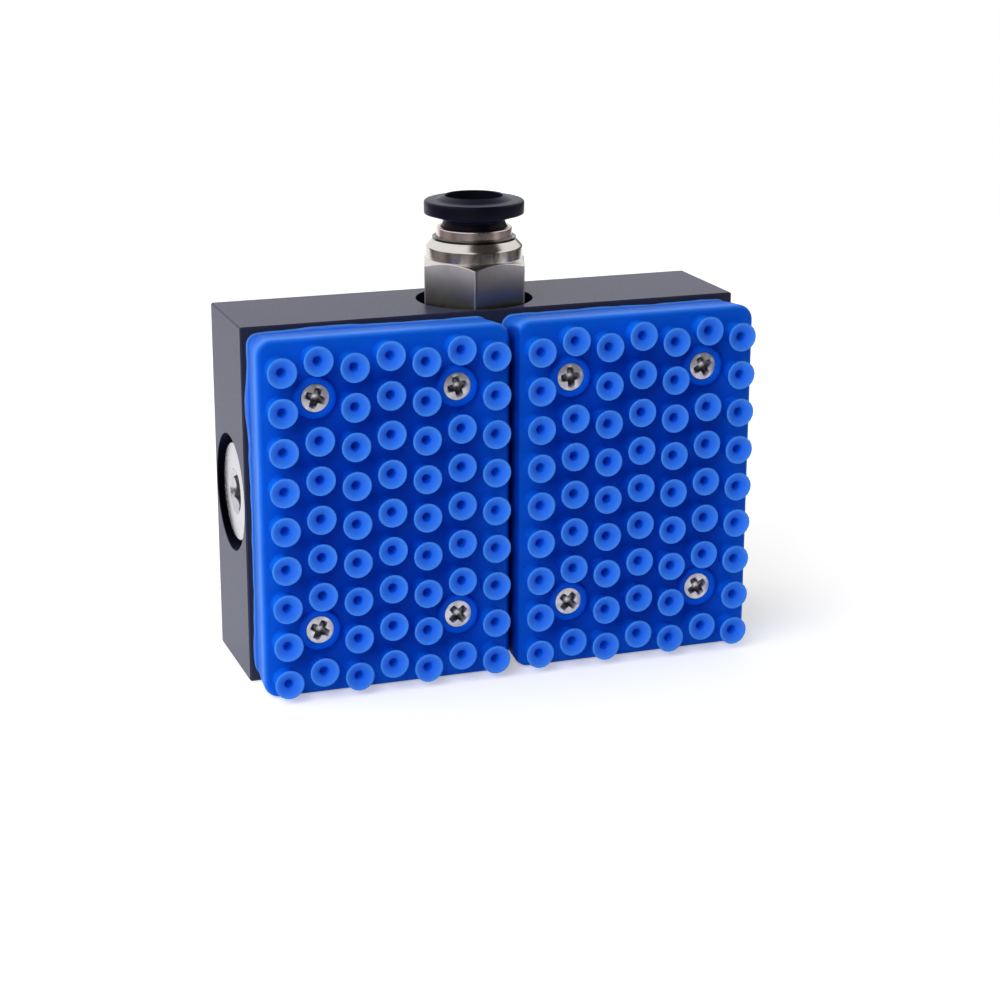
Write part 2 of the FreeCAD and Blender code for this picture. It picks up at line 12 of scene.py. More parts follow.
import bpy
import numpy as np
from mathutils import Euler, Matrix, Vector
from mathutils.geometry import delaunay_2d_cdt


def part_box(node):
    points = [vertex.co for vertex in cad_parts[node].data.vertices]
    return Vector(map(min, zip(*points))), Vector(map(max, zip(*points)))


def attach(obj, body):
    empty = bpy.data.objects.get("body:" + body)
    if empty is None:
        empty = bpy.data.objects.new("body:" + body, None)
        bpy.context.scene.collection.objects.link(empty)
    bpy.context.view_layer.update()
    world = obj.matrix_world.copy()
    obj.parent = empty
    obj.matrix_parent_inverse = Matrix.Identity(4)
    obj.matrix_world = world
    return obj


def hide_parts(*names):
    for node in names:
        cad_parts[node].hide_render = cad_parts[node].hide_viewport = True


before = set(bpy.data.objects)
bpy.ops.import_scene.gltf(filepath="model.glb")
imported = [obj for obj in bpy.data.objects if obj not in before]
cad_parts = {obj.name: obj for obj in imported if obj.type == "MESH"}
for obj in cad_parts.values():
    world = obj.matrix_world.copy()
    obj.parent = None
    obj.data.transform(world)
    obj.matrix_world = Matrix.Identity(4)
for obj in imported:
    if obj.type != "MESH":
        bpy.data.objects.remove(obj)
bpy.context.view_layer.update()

Array = np.ndarray
Colour = tuple[float, float, float]
Point = tuple[float, float, float]
Corner = tuple[float, float, float]
Range = tuple[float, float]
Stops = tuple[tuple[float, Colour], ...]
Material = bpy.types.Material
Socket = bpy.types.NodeSocket

MM = 0.001
FULL_TURN = 2.0 * math.pi
GRAIN_RANGE = (0.25, 0.75)
GRAIN_DETAIL = 2.0
MOTTLE_RANGE = (0.3, 0.7)
MOTTLE_DETAIL = 3.0
LEAST_ROUGHNESS = 0.02
log = logging.getLogger("suction_cup")


class Facing(Enum):
    """The way that a piece's own height runs in the part's frame."""

    UP = "up"
    FRONT = "front"
    LEFT = "left"

    def place(self, points: Array, origin: Sequence[float]) -> Array:
        """Turn points from a piece's own axes to the part's and carry them to its origin.

        Args:
            points: Points whose third coordinate is the piece's height.
            origin: Where the piece's own zero lies in the part's frame.

        Returns:
            The points in the part's frame.
        """
        across, aside, height = points[..., 0], points[..., 1], points[..., 2]
        turned = {
            Facing.UP: (across, aside, height),
            Facing.FRONT: (across, -height, aside),
            Facing.LEFT: (-height, across, aside),
        }[self]
        return np.stack(turned, axis=-1) + np.asarray(origin, dtype=float)


@dataclass
class Surface:
    """A mesh held as whole arrays, with one array of faces for each count of corners."""

    points: Array
    faces: list[Array]

    def placed(self, facing: Facing, origin: Sequence[float]) -> "Surface":
        """The same surface turned and carried to its place in the part's frame."""
        return Surface(facing.place(self.points, origin), self.faces)

    def turned(self, angle: float) -> "Surface":
        """The same surface turned about its own height.

        Args:
            angle: The turn in radians, anticlockwise seen from above.

        Returns:
            The turned surface.
        """
        cosine, sine = math.cos(angle), math.sin(angle)
        spin = np.array([[cosine, -sine, 0.0], [sine, cosine, 0.0], [0.0, 0.0, 1.0]])
        return Surface(self.points @ spin.T, self.faces)

    def flipped(self) -> "Surface":
        """The same surface with its faces turned round."""
        return Surface(self.points, [corners[:, ::-1] for corners in self.faces])

    def outward(self) -> "Surface":
        """The same closed shell with its faces turned outwards.

        The volume under each triangle of a fan over every face is added up, and the faces are
        turned round where the sum is negative.

        Returns:
            A shell whose volume is positive.
        """
        volume = 0.0
        for corners in self.faces:
            first = self.points[corners[:, 0]]
            for k in range(1, corners.shape[1] - 1):
                second = self.points[corners[:, k]]
                third = self.points[corners[:, k + 1]]
                volume += float(np.einsum("ij,ij->", first, np.cross(second, third)))
        return self if volume >= 0.0 else self.flipped()

    def repeated(self, offsets: Array) -> "Surface":
        """Copies of the surface, one at each offset.

        Args:
            offsets: One row of three coordinates for each copy.

        Returns:
            All the copies in one surface.
        """
        count = len(self.points)
        points = (self.points[None, :, :] + offsets[:, None, :]).reshape(-1, 3)
        shift = np.arange(len(offsets))[:, None, None] * count
        faces = [(corners[None] + shift).reshape(-1, corners.shape[1]) for corners in self.faces]
        return Surface(points, faces)

    def to_object(self, name: str, material: Material, sharp: float) -> bpy.types.Object:
        """Make a Blender object of the surface, smooth but for its sharp edges.

        Args:
            name: The piece's name.
            material: Its finish.
            sharp: The angle in degrees past which an edge stays sharp.

        Returns:
            The object, at the origin, in metres.
        """
        mesh = bpy.data.meshes.new(name)
        corners = [row for block in self.faces for row in block.tolist()]
        mesh.from_pydata((self.points * MM).tolist(), [], corners)
        mesh.polygons.foreach_set("use_smooth", np.ones(len(mesh.polygons), dtype=bool))
        mesh.set_sharp_from_angle(angle=math.radians(sharp))
        mesh.materials.append(material)
        mesh.update()
        piece = bpy.data.objects.new(name, mesh)
        bpy.context.scene.collection.objects.link(piece)
        return piece


def joined(parts: Sequence[Surface]) -> Surface:
    """Put several surfaces into one.

    Args:
        parts: The surfaces, whose points keep their order one after the other.

    Returns:
        One surface that holds them all.
    """
    starts = np.cumsum([0] + [len(part.points) for part in parts])
    faces = [corners + start for part, start in zip(parts, starts) for corners in part.faces]
    return Surface(np.concatenate([part.points for part in parts]), faces)


def numbered(rings: Array) -> Array:
    """The numbers of the points of a stack of rings, by ring and by place round it."""
    return np.arange(rings.shape[0] * rings.shape[1]).reshape(rings.shape[:2])


def bands(numbers: Array) -> Array:
    """Four-sided faces between each ring of point numbers and the next."""
    beside = np.roll(numbers, -1, axis=1)
    return np.stack((numbers[:-1], beside[:-1], beside[1:], numbers[1:]), axis=-1).reshape(-1, 4)


def fan(numbers: Array, pole: int) -> Array:
    """Triangles from the edges of one ring of point numbers to a pole."""
    return np.stack((numbers, np.roll(numbers, -1), np.full(len(numbers), pole)), axis=-1)


def capped(rings: Array, pole: Point) -> Surface:
    """A surface through a stack of rings, open at the first and drawn to a pole at the last.

    Faces look away from the axis where the rings run anticlockwise and rise.

    Args:
        rings: Points by ring, by place round the ring and by coordinate.
        pole: The point that closes the last ring.

    Returns:
        The surface, whose first points are those of the open ring.
    """
    numbers = numbered(rings)
    points = np.concatenate((rings.reshape(-1, 3), [pole]))
    return Surface(points, [bands(numbers), fan(numbers[-1], numbers.size)])


def looped(rings: Array) -> Surface:
    """A closed shell through rings whose last joins the first, as a ring with a hole through it."""
    numbers = numbered(rings)
    return Surface(rings.reshape(-1, 3), [bands(np.concatenate((numbers, numbers[:1])))])


def floor_between(points: Array, rims: Sequence[Array]) -> Array:
    """Triangles that fill a flat floor inside one closed rim and outside all the others.

    The rims' edges are kept, so the floor shares every point with what stands on it. A triangle
    whose corners all lie on one inner rim is in a hole, and is left out.

    Args:
        points: All the points of the mesh, with the floor in the first two coordinates.
        rims: For each rim, the numbers of its points in order. The first is the outer one.

    Returns:
        Rows of three point numbers, anticlockwise seen from above.
    """
    numbers = np.concatenate(rims)
    owners = np.concatenate([np.full(len(rim), k) for k, rim in enumerate(rims)])
    starts = np.cumsum([0] + [len(rim) for rim in rims[:-1]])
    loops = [start + np.arange(len(rim)) for rim, start in zip(rims, starts)]
    edges = np.concatenate([np.stack((loop, np.roll(loop, -1)), axis=-1) for loop in loops])
    flat = [Vector(spot) for spot in points[numbers, :2].tolist()]
    every_triangle_inside, same_spot = 1, 1e-5
    filled = delaunay_2d_cdt(flat, edges.tolist(), [], every_triangle_inside, same_spot)
    source = np.array([origins[0] for origins in filled[3]])
    chosen = source[np.array(filled[2])]
    owner = owners[chosen]
    in_hole = (owner[:, 0] > 0) & (owner[:, 0] == owner[:, 1]) & (owner[:, 1] == owner[:, 2])
    triangles = numbers[chosen[~in_hole]]
    first, second, third = (points[triangles[:, k], :2] for k in range(3))
    ahead, aside = second - first, third - first
    clockwise = ahead[:, 0] * aside[:, 1] < ahead[:, 1] * aside[:, 0]
    triangles[clockwise] = triangles[clockwise, ::-1]
    return triangles


def ring_angles(columns: int) -> Array:
    """Evenly spaced angles round a full turn."""
    return np.arange(columns) * (FULL_TURN / columns)


def all_round(profile: Array, columns: int) -> Array:
    """A profile's rows, the same at every place round the ring."""
    return np.repeat(profile[:, None, :], columns, axis=1)


def lathe(profile: Array, columns: int) -> Array:
    """Rings of a turned shape: the point at angle a of a row (r, h) is (r cos a, r sin a, h).

    Args:
        profile: Rows of radius and height, or such rows for each place round the ring.
        columns: How many points a ring has.

    Returns:
        Points by ring, by place round the ring and by coordinate.
    """
    rows = profile if profile.ndim == 3 else all_round(profile, columns)
    angles = ring_angles(columns)
    radii = rows[..., 0]
    return np.stack((radii * np.cos(angles), radii * np.sin(angles), rows[..., 1]), axis=-1)


def rounded(corners: Sequence[Corner], steps: int = 5, closed: bool = False) -> Array:
    """A profile with its corners rounded.

    Each corner with a radius becomes a curve whose two ends lie where an arc of that radius
    would leave the straight runs: a quadratic curve with the corner as its middle point.

    Args:
        corners: Distance from the axis, height and rounding of each corner.
        steps: How many runs each rounding has.
        closed: Whether the last corner joins the first.

    Returns:
        Rows of distance and height.
    """
    most_of_run = 0.48
    spots = np.array([corner[:2] for corner in corners], dtype=float)
    share = np.linspace(0.0, 1.0, steps + 1)[:, None]
    rows: list[Array] = []
    for k, (_, _, radius) in enumerate(corners):
        middle = spots[k]
        at_end = not closed and k in (0, len(corners) - 1)
        if radius <= 0.0 or at_end:
            rows.append(middle[None])
            continue
        back = spots[k - 1] - middle
        ahead = spots[(k + 1) % len(corners)] - middle
        back_length, ahead_length = np.linalg.norm(back), np.linalg.norm(ahead)
        cosine = float(back @ ahead) / (back_length * ahead_length)
        opening = math.acos(max(-1.0, min(1.0, cosine)))
        arc_reach = radius / math.tan(opening / 2.0)
        reach = min(arc_reach, most_of_run * back_length, most_of_run * ahead_length)
        start = middle + back / back_length * reach
        end = middle + ahead / ahead_length * reach
        rows.append((1 - share) ** 2 * start + 2 * share * (1 - share) * middle + share**2 * end)
    return np.concatenate(rows)


def hexagon_radius(flats: float, angles: Array) -> Array:
    """The distance from a hexagon's middle to its edge.

    It is half the width across flats over the cosine of the angle from the nearest flat's normal.

    Args:
        flats: Width across flats.
        angles: Directions in radians, with a corner at zero.

    Returns:
        One distance for each direction.
    """
    sector = FULL_TURN / 6.0
    from_normal = np.mod(angles, sector) - sector / 2.0
    return flats / 2.0 / np.cos(from_normal)


class NodeGraph:
    """The node tree of one material or world, with short calls to fill it."""

    def __init__(self, owner: Material | bpy.types.World) -> None:
        """Start from an empty tree.

        Args:
            owner: The material or world that the nodes belong to.
        """
        owner.use_nodes = True
        self.tree = owner.node_tree
        self.tree.nodes.clear()

    def add(self, kind: str, **values: object) -> bpy.types.Node:
        """Add a node and set its properties.

        Args:
            kind: The node's type name.
            values: Properties of the node by name.

        Returns:
            The new node.
        """
        node = self.tree.nodes.new(kind)
        for name, value in values.items():
            setattr(node, name, value)
        return node

    def link(self, source: Socket, target: Socket) -> None:
        """Join an output to an input."""
        self.tree.links.new(source, target)

    def feed(self, target: Socket, value: Socket | float | Sequence[float]) -> None:
        """Give an input what it takes.

        Args:
            target: The input.
            value: Another node's output, or a fixed value.
        """
        if isinstance(value, Socket):
            self.link(value, target)
        else:
            target.default_value = value

    def show(self, kind: str, shader: Socket) -> None:
        """Join a shader to a new output node."""
        self.link(shader, self.add(kind).inputs["Surface"])

    def place(self) -> Socket:
        """Object coordinates, which are the part's own frame in metres."""
        return self.add("ShaderNodeTexCoord").outputs["Object"]

    def axes(self, vector: Socket) -> dict[str, Socket]:
        """Split a vector.

        Args:
            vector: The vector.

        Returns:
            Its shares by the names X, Y and Z.
        """
        split = self.add("ShaderNodeSeparateXYZ")
        self.link(vector, split.inputs["Vector"])
        return {axis: split.outputs[axis] for axis in "XYZ"}

    def along(self, axis: str) -> Socket:
        """One of the object coordinates."""
        return self.axes(self.place())[axis]

    def operate(self, kind: str, operation: str, *values: Socket | float | Sequence[float]) -> Socket:
        """Work out an operation of a math or vector math node.

        Args:
            kind: The node's type name.
            operation: The operation's name.
            values: What the node's inputs take, in order.

        Returns:
            The result.
        """
        node = self.add(kind, operation=operation)
        for target, value in zip(node.inputs, values):
            self.feed(target, value)
        return next(output for output in node.outputs if output.enabled)

    def product(self, first: Socket, second: Socket) -> Socket:
        """Two values multiplied."""
        return self.operate("ShaderNodeMath", "MULTIPLY", first, second)

    def greatest(self, first: Socket, second: Socket) -> Socket:
        """The larger of two values."""
        return self.operate("ShaderNodeMath", "MAXIMUM", first, second)

    def scaled_sum(self, value: Socket, scale: float, other: Socket) -> Socket:
        """A value times a scale, plus another value."""
        return self.operate("ShaderNodeMath", "MULTIPLY_ADD", value, scale, other)

    def absolute(self, vector: Socket) -> Socket:
        """A vector without its signs."""
        return self.operate("ShaderNodeVectorMath", "ABSOLUTE", vector)

    def from_axis(self) -> Socket:
        """The distance from the part's upright axis, in metres."""
        flat = self.operate("ShaderNodeVectorMath", "MULTIPLY", self.place(), (1.0, 1.0, 0.0))
        return self.operate("ShaderNodeVectorMath", "LENGTH", flat)

    def past_box(self, place: Socket, middle: Point, half: Point) -> dict[str, Socket]:
        """How far a point lies past the faces of a box, along each axis.

        Args:
            place: The point.
            middle: The box's middle in millimetres.
            half: Its half size in millimetres.

        Returns:
            A value for each axis, zero on a face and negative within.
        """
        away = self.operate("ShaderNodeVectorMath", "SUBTRACT", place, [c * MM for c in middle])
        size = [c * MM for c in half]
        return self.axes(self.operate("ShaderNodeVectorMath", "SUBTRACT", self.absolute(away), size))

    def noise(
        self, scale: float, detail: float, stretch: Point = (1.0, 1.0, 1.0), place: Socket | None = None,
    ) -> Socket:
        """Noise on object coordinates, or on a place that is given.

        Args:
            scale: Features to a unit of the place.
            detail: Octaves of finer noise.
            stretch: How much closer the features lie along each axis.
            place: Where the noise is read.

        Returns:
            The noise value.
        """
        mapping = self.add("ShaderNodeMapping")
        mapping.inputs["Scale"].default_value = stretch
        self.link(place or self.place(), mapping.inputs["Vector"])
        noise = self.add("ShaderNodeTexNoise")
        noise.inputs["Scale"].default_value = scale
        noise.inputs["Detail"].default_value = detail
        self.link(mapping.outputs["Vector"], noise.inputs["Vector"])
        return noise.outputs["Fac"]

    def spread(
        self, value: Socket, reach: Sequence[float], to: Range = (0.0, 1.0), smooth: bool = False,
    ) -> Socket:
        """Carry a value from one range on to another, held at the ends.

        Args:
            value: The value.
            reach: The range that it is taken from.
            to: The range that it is carried to.
            smooth: Whether it eases in and out.

        Returns:
            The carried value.
        """
        node = self.add("ShaderNodeMapRange", interpolation_type="SMOOTHSTEP" if smooth else "LINEAR")
        node.inputs["From Min"].default_value, node.inputs["From Max"].default_value = reach
        node.inputs["To Min"].default_value, node.inputs["To Max"].default_value = to
        self.link(value, node.inputs["Value"])
        return node.outputs["Result"]

    def between(self, factor: Socket, low: float, high: float) -> Socket:
        """A value that runs from low to high as a factor goes from 0 to 1."""
        return self.spread(factor, (0.0, 1.0), (low, high))

    def fade(self, value: Socket, reach: Range, unit: float = 1.0) -> Socket:
        """A smooth step from 0 to 1 as a value runs from the first of two levels to the second.

        Args:
            value: The value.
            reach: The two levels, of which either may be the higher.
            unit: What the levels are counted in.

        Returns:
            The factor.
        """
        to = (0.0, 1.0) if reach[0] < reach[1] else (1.0, 0.0)
        return self.spread(value, sorted(level * unit for level in reach), to, smooth=True)

    def blend(
        self, factor: Socket | float, first: Colour | Socket, second: Colour | Socket, mode: str = "MIX",
    ) -> Socket:
        """A colour mixed from two, each fixed or from a node.

        Args:
            factor: The second colour's share, from 0 to 1.
            first: The colour at 0.
            second: The colour at 1.
            mode: How the second is laid over the first.

        Returns:
            The colour.
        """
        mix = self.add("ShaderNodeMix", data_type="RGBA", blend_type=mode)
        for name, colour in (("A", first), ("B", second)):
            self.feed(mix.inputs[name], (*colour, 1.0) if isinstance(colour, tuple) else colour)
        self.feed(mix.inputs["Factor"], factor)
        return mix.outputs["Result"]

    def tint(self, colour: Socket, shade: Socket) -> Socket:
        """A colour times a shade."""
        return self.blend(1.0, colour, shade, "MULTIPLY")

    def ramp(self, value: Socket, stops: Sequence[tuple[float, Colour]]) -> Socket:
        """A colour that runs through stops as a value goes from 0 to 1.

        Args:
            value: The value.
            stops: Levels with their colours, in order.

        Returns:
            The colour.
        """
        node = self.add("ShaderNodeValToRGB")
        elements = node.color_ramp.elements
        while len(elements) < len(stops):
            elements.new(1.0)
        for element, (level, colour) in zip(elements, stops):
            element.position = level
            element.color = (*colour, 1.0)
        self.link(value, node.inputs["Fac"])
        return node.outputs["Color"]

    def bump(self, height: Socket, depth: float) -> Socket:
        """Bump from a height of 0 to 1.

        Args:
            height: The height.
            depth: What a height of 1 comes to in millimetres.

        Returns:
            The normal.
        """
        node = self.add("ShaderNodeBump")
        node.inputs["Strength"].default_value = 1.0
        node.inputs["Distance"].default_value = depth * MM
        self.link(height, node.inputs["Height"])
        return node.outputs["Normal"]


@dataclass(frozen=True)
class Finish:
    """A surface finish: colour, gloss and the grain that breaks them up."""

    name: str
    colour: Colour
    roughness: float
    metallic: float = 0.0
    specular: float = 0.5
    mottle: float = 0.08
    mottle_scale: float = 160.0
    grain: float = 0.004
    grain_scale: float = 2500.0
    grain_stretch: Point = (1.0, 1.0, 1.0)
    roughness_spread: float = 0.06
    scatter: float = 0.0
    scatter_depth: float = 1.0
    scatter_share: Point = (0.3, 0.6, 1.0)
    bloom: float = 0.0
    bloom_colour: Colour = (0.26, 0.3, 1.0)

    def material(self) -> Material:
        """Build the finish as a material.

        Returns:
            The material, with mottled colour, uneven gloss and a fine grain.
        """
        material = bpy.data.materials.new(self.name)
        graph = NodeGraph(material)
        shader = graph.add("ShaderNodeBsdfPrincipled")
        shader.inputs["Metallic"].default_value = self.metallic
        shader.inputs["Specular IOR Level"].default_value = self.specular
        shader.inputs["Subsurface Weight"].default_value = self.scatter
        shader.inputs["Subsurface Scale"].default_value = self.scatter_depth * MM
        shader.inputs["Subsurface Radius"].default_value = self.scatter_share
        shader.inputs["Sheen Weight"].default_value = self.bloom
        shader.inputs["Sheen Tint"].default_value = (*self.bloom_colour, 1.0)
        graph.show("ShaderNodeOutputMaterial", shader.outputs["BSDF"])
        grain = graph.noise(self.grain_scale, GRAIN_DETAIL, self.grain_stretch)
        graph.link(self.paint(graph), shader.inputs["Base Color"])
        graph.link(self.gloss(graph, grain), shader.inputs["Roughness"])
        graph.link(graph.bump(grain, self.grain), shader.inputs["Normal"])
        self.complete(graph, shader)
        return material

    def complete(self, graph: NodeGraph, shader: bpy.types.Node) -> None:
        """Add what a plain finish doesn't have."""

    def slow(self, graph: NodeGraph) -> Socket:
        """The slow noise that mottles the colour."""
        return graph.noise(self.mottle_scale, MOTTLE_DETAIL)

    def shade(self, graph: NodeGraph) -> Socket:
        """The slow noise as a factor about 1."""
        return graph.spread(self.slow(graph), MOTTLE_RANGE, (1.0 - self.mottle, 1.0 + self.mottle))

    def uneven(self, graph: NodeGraph, grain: Socket) -> Socket:
        """The grain as a factor about 1."""
        low, high = 1.0 - self.roughness_spread, 1.0 + self.roughness_spread
        return graph.spread(grain, GRAIN_RANGE, (low, high))

    def toned(self, level: float) -> Colour:
        """The colour made darker or lighter by a level."""
        return tuple(min(1.0, c * level) for c in self.colour)

    def paint(self, graph: NodeGraph) -> Socket:
        """The mottled colour."""
        dark, light = self.toned(1.0 - self.mottle), self.toned(1.0 + self.mottle)
        return graph.blend(self.slow(graph), dark, light)

    def gloss(self, graph: NodeGraph, grain: Socket) -> Socket:
        """Roughness that the grain makes uneven."""
        low, high = self.roughness - self.roughness_spread, self.roughness + self.roughness_spread
        return graph.spread(grain, GRAIN_RANGE, (max(LEAST_ROUGHNESS, low), min(1.0, high)))


@dataclass(frozen=True)
class LayeredFinish(Finish):
    """A finish whose colour changes by layers along the part's Y, from a start to an end."""

    start: float = 0.0
    end: float = 0.0
    stops: Stops = ()

    def layers(self, graph: NodeGraph, stops: Stops) -> Socket:
        """The colour of a point's layer, from stops at distances from the start in millimetres."""
        depth = graph.spread(graph.along("Y"), (self.start * MM, self.end * MM))
        return graph.ramp(depth, [(level / abs(self.end - self.start), colour) for level, colour in stops])

    def paint(self, graph: NodeGraph) -> Socket:
        """The colour of the layer that a point lies in, mottled."""
        return graph.tint(self.layers(graph, self.stops), self.shade(graph))


@dataclass(frozen=True)
class PadSilicone(LayeredFinish):
    """Silicone in layers, whose floor is painted paler towards the rim of each of two mirrored pads as
    painted light, and darker between the pads as painted shade.
    """

    # The rim's stops paint the floor paler near the pad's outline as painted light, where the nozzles
    # shade it less.
    rim_light_stops: Stops = ()
    pad_middle: Point = (0.0, 0.0, 0.0)
    pad_half: Point = (1.0, 1.0, 1.0)
    rim_reach: Range = (-7.0, -0.8)
    # Painted shade darkens the narrow gap between the two pads.
    gap_shade_reach: Range = (1.1, 0.7)
    gap_colour: Colour = (0.0, 0.05, 0.45)

    def rim(self, graph: NodeGraph) -> Socket:
        """A factor that is 1 at a pad's outline and 0 further in, where the floor takes painted light."""
        past = graph.past_box(graph.absolute(graph.place()), self.pad_middle, self.pad_half)
        return graph.fade(graph.greatest(past["X"], past["Z"]), self.rim_reach, MM)

    def paint(self, graph: NodeGraph) -> Socket:
        """The layer's colour, inside or near the rim where painted light makes the floor paler, darker
        between the two pads as painted shade, mottled.

        Args:
            graph: The material's nodes.

        Returns:
            The colour.
        """
        # Near the rim the floor takes the paler painted-light stops.
        inside, outside = self.layers(graph, self.stops), self.layers(graph, self.rim_light_stops)
        pads = graph.blend(self.rim(graph), inside, outside)
        from_middle = graph.axes(graph.absolute(graph.place()))["X"]
        # The gap between the pads is darkened as painted shade.
        colour = graph.blend(graph.fade(from_middle, self.gap_shade_reach, MM), pads, self.gap_colour)
        return graph.tint(colour, self.shade(graph))


@dataclass(frozen=True)
class BoredFinish(Finish):
    """A finish of a box's outside, with painted shade in the bores that go into it: darker and duller
    there.
    """

    middle: Point = (0.0, 0.0, 0.0)
    half: Point = (1.0, 1.0, 1.0)
    bore_reach: Range = (-0.11, -0.14)
    # The bores' colour is painted shade, darker than the outside's.
    bore_shade_colour: Colour = (0.0, 0.0, 0.0)
    bore_roughness: float = 0.8

    def inside(self, graph: NodeGraph) -> Socket:
        """A factor that is 1 in the bores and 0 on the outside: where the painted shade goes.

        The box's half size is taken from a point's distance from its middle on each axis. The
        largest of the three is 0 on the outside and negative within.

        Args:
            graph: The material's nodes.

        Returns:
            The factor.
        """
        past = graph.past_box(graph.place(), self.middle, self.half)
        outermost = graph.greatest(graph.greatest(past["X"], past["Y"]), past["Z"])
        return graph.fade(outermost, self.bore_reach, MM)

    def complete(self, graph: NodeGraph, shader: bpy.types.Node) -> None:
        """Take the bores' gloss away as painted shade: as a black metal they reflect almost nothing."""
        graph.link(self.inside(graph), shader.inputs["Metallic"])

    def paint(self, graph: NodeGraph) -> Socket:
        """The colour of the outside, or the painted shade of a bore, mottled."""
        # A bore takes painted shade in place of the outside's colour.
        colour = graph.blend(self.inside(graph), self.colour, self.bore_shade_colour)
        return graph.tint(colour, self.shade(graph))

    def gloss(self, graph: NodeGraph, grain: Socket) -> Socket:
        """Roughness that rises in the bores, made uneven by the grain."""
        level = graph.between(self.inside(graph), self.roughness, self.bore_roughness)
        return graph.product(level, self.uneven(graph, grain))


@dataclass(frozen=True)
class MilledHex(Finish):
    """Bright turned plate with dull milled flats below a chamfer cone, worn corners lighter partly as a
    painted highlight, a painted reflection on the flats' foot and painted shade on the rim.
    """

    cone_level: float = 0.0
    cone_slope: float = 0.5
    cone_fade: Range = (0.09, 0.03)
    flats_low: float = 0.0
    flats_top: float = 0.0
    flats_roughness: float = 0.4
    flats_colour: Colour = (0.5, 0.5, 0.5)
    # The flats' foot colour is a painted reflection of the dark block below them.
    dark_reflection_colour: Colour = (0.2, 0.2, 0.2)
    low_share: float = 0.15
    full_share: float = 0.9
    worn_radius: float = 0.0
    worn_fade: float = 0.02
    worn_roughness: float = 0.6
    # The worn corners' colour is real wear made lighter as a painted highlight.
    wear_and_highlight_colour: Colour = (0.52, 0.5, 0.52)
    # The dark band from this level up is painted shade on the rim's edge and the ledge at the mouth ring's
    # foot.
    rim_shade_level: float = 0.0
    rim_shade_fade: float = 0.05
    rim_shade_colour: Colour = (0.1, 0.095, 0.09)

    def turned(self, graph: NodeGraph) -> Socket:
        """A factor that is 1 on the chamfer cone and above it, and 0 on the flats.

        On the cone, the height plus the slope times the distance from the axis is the same all
        over. It is less on the flats and more on the shoulder.

        Args:
            graph: The material's nodes.

        Returns:
            The factor.
        """
        level = graph.scaled_sum(graph.from_axis(), self.cone_slope, graph.along("Z"))
        start, end = (self.cone_level - below for below in self.cone_fade)
        return graph.fade(level, (start, end), MM)

    def worn(self, graph: NodeGraph) -> Socket:
        """A factor that is 1 along the hex's corners."""
        return graph.fade(graph.from_axis(), (self.worn_radius - self.worn_fade, self.worn_radius), MM)

    def paint(self, graph: NodeGraph) -> Socket:
        """The flats', corners', turned part's and rim's colours. The flats darken to their foot as a
        painted reflection of the dark block; the worn corners are lighter, partly real wear and partly a
        painted highlight; the rim's edge is dark with painted shade.

        Args:
            graph: The material's nodes.

        Returns:
            The colour.
        """
        height = graph.spread(graph.along("Z"), (self.flats_low * MM, self.flats_top * MM))
        # The foot's colour is a painted reflection of the dark block.
        foot, full = self.dark_reflection_colour, self.flats_colour
        flats = graph.ramp(height, ((0.0, foot), (self.low_share, foot), (self.full_share, full)))
        # Worn corners are lighter, partly as a painted highlight.
        sides = graph.blend(self.worn(graph), flats, self.wear_and_highlight_colour)
        plate = graph.blend(self.turned(graph), sides, self.colour)
        # Painted shade on the rim's edge, from its level up.
        rim_shade = graph.fade(graph.along("Z"), (self.rim_shade_level - self.rim_shade_fade, self.rim_shade_level), MM)
        return graph.tint(graph.blend(rim_shade, plate, self.rim_shade_colour), self.shade(graph))

    def gloss(self, graph: NodeGraph, grain: Socket) -> Socket:
        """Roughness of the turned part, of the flats and of the corners, made uneven by the grain.

        Args:
            graph: The material's nodes.
            grain: The fine noise.

        Returns:
            The roughness.
        """
        level = graph.between(self.turned(graph), self.flats_roughness, self.roughness)
        corners = graph.between(self.worn(graph), 0.0, self.worn_roughness)
        return graph.product(graph.greatest(level, corners), self.uneven(graph, grain))


def box_mm(node: str) -> tuple[Array, Array]:
    """A node's lowest and highest corners in millimetres."""
    low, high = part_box(node)
    return np.array(low) / MM, np.array(high) / MM


def dress_node(node: str, material: Material) -> None:
    """Give a CAD node's object its finish.

    Args:
        node: The node's name.
        material: The finish.
    """
    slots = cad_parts[node].data.materials
    slots.clear()
    slots.append(material)
    log.info("dressed %s", node)


def add_piece(piece: bpy.types.Object, node: str, body: str) -> None:
    """Let a new piece stand for a CAD node.

    Args:
        piece: The new piece.
        node: The node that it stands for.
        body: The body that it moves with.
    """
    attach(piece, body)
    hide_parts(node)
    log.info("built %s for %s", piece.name, node)


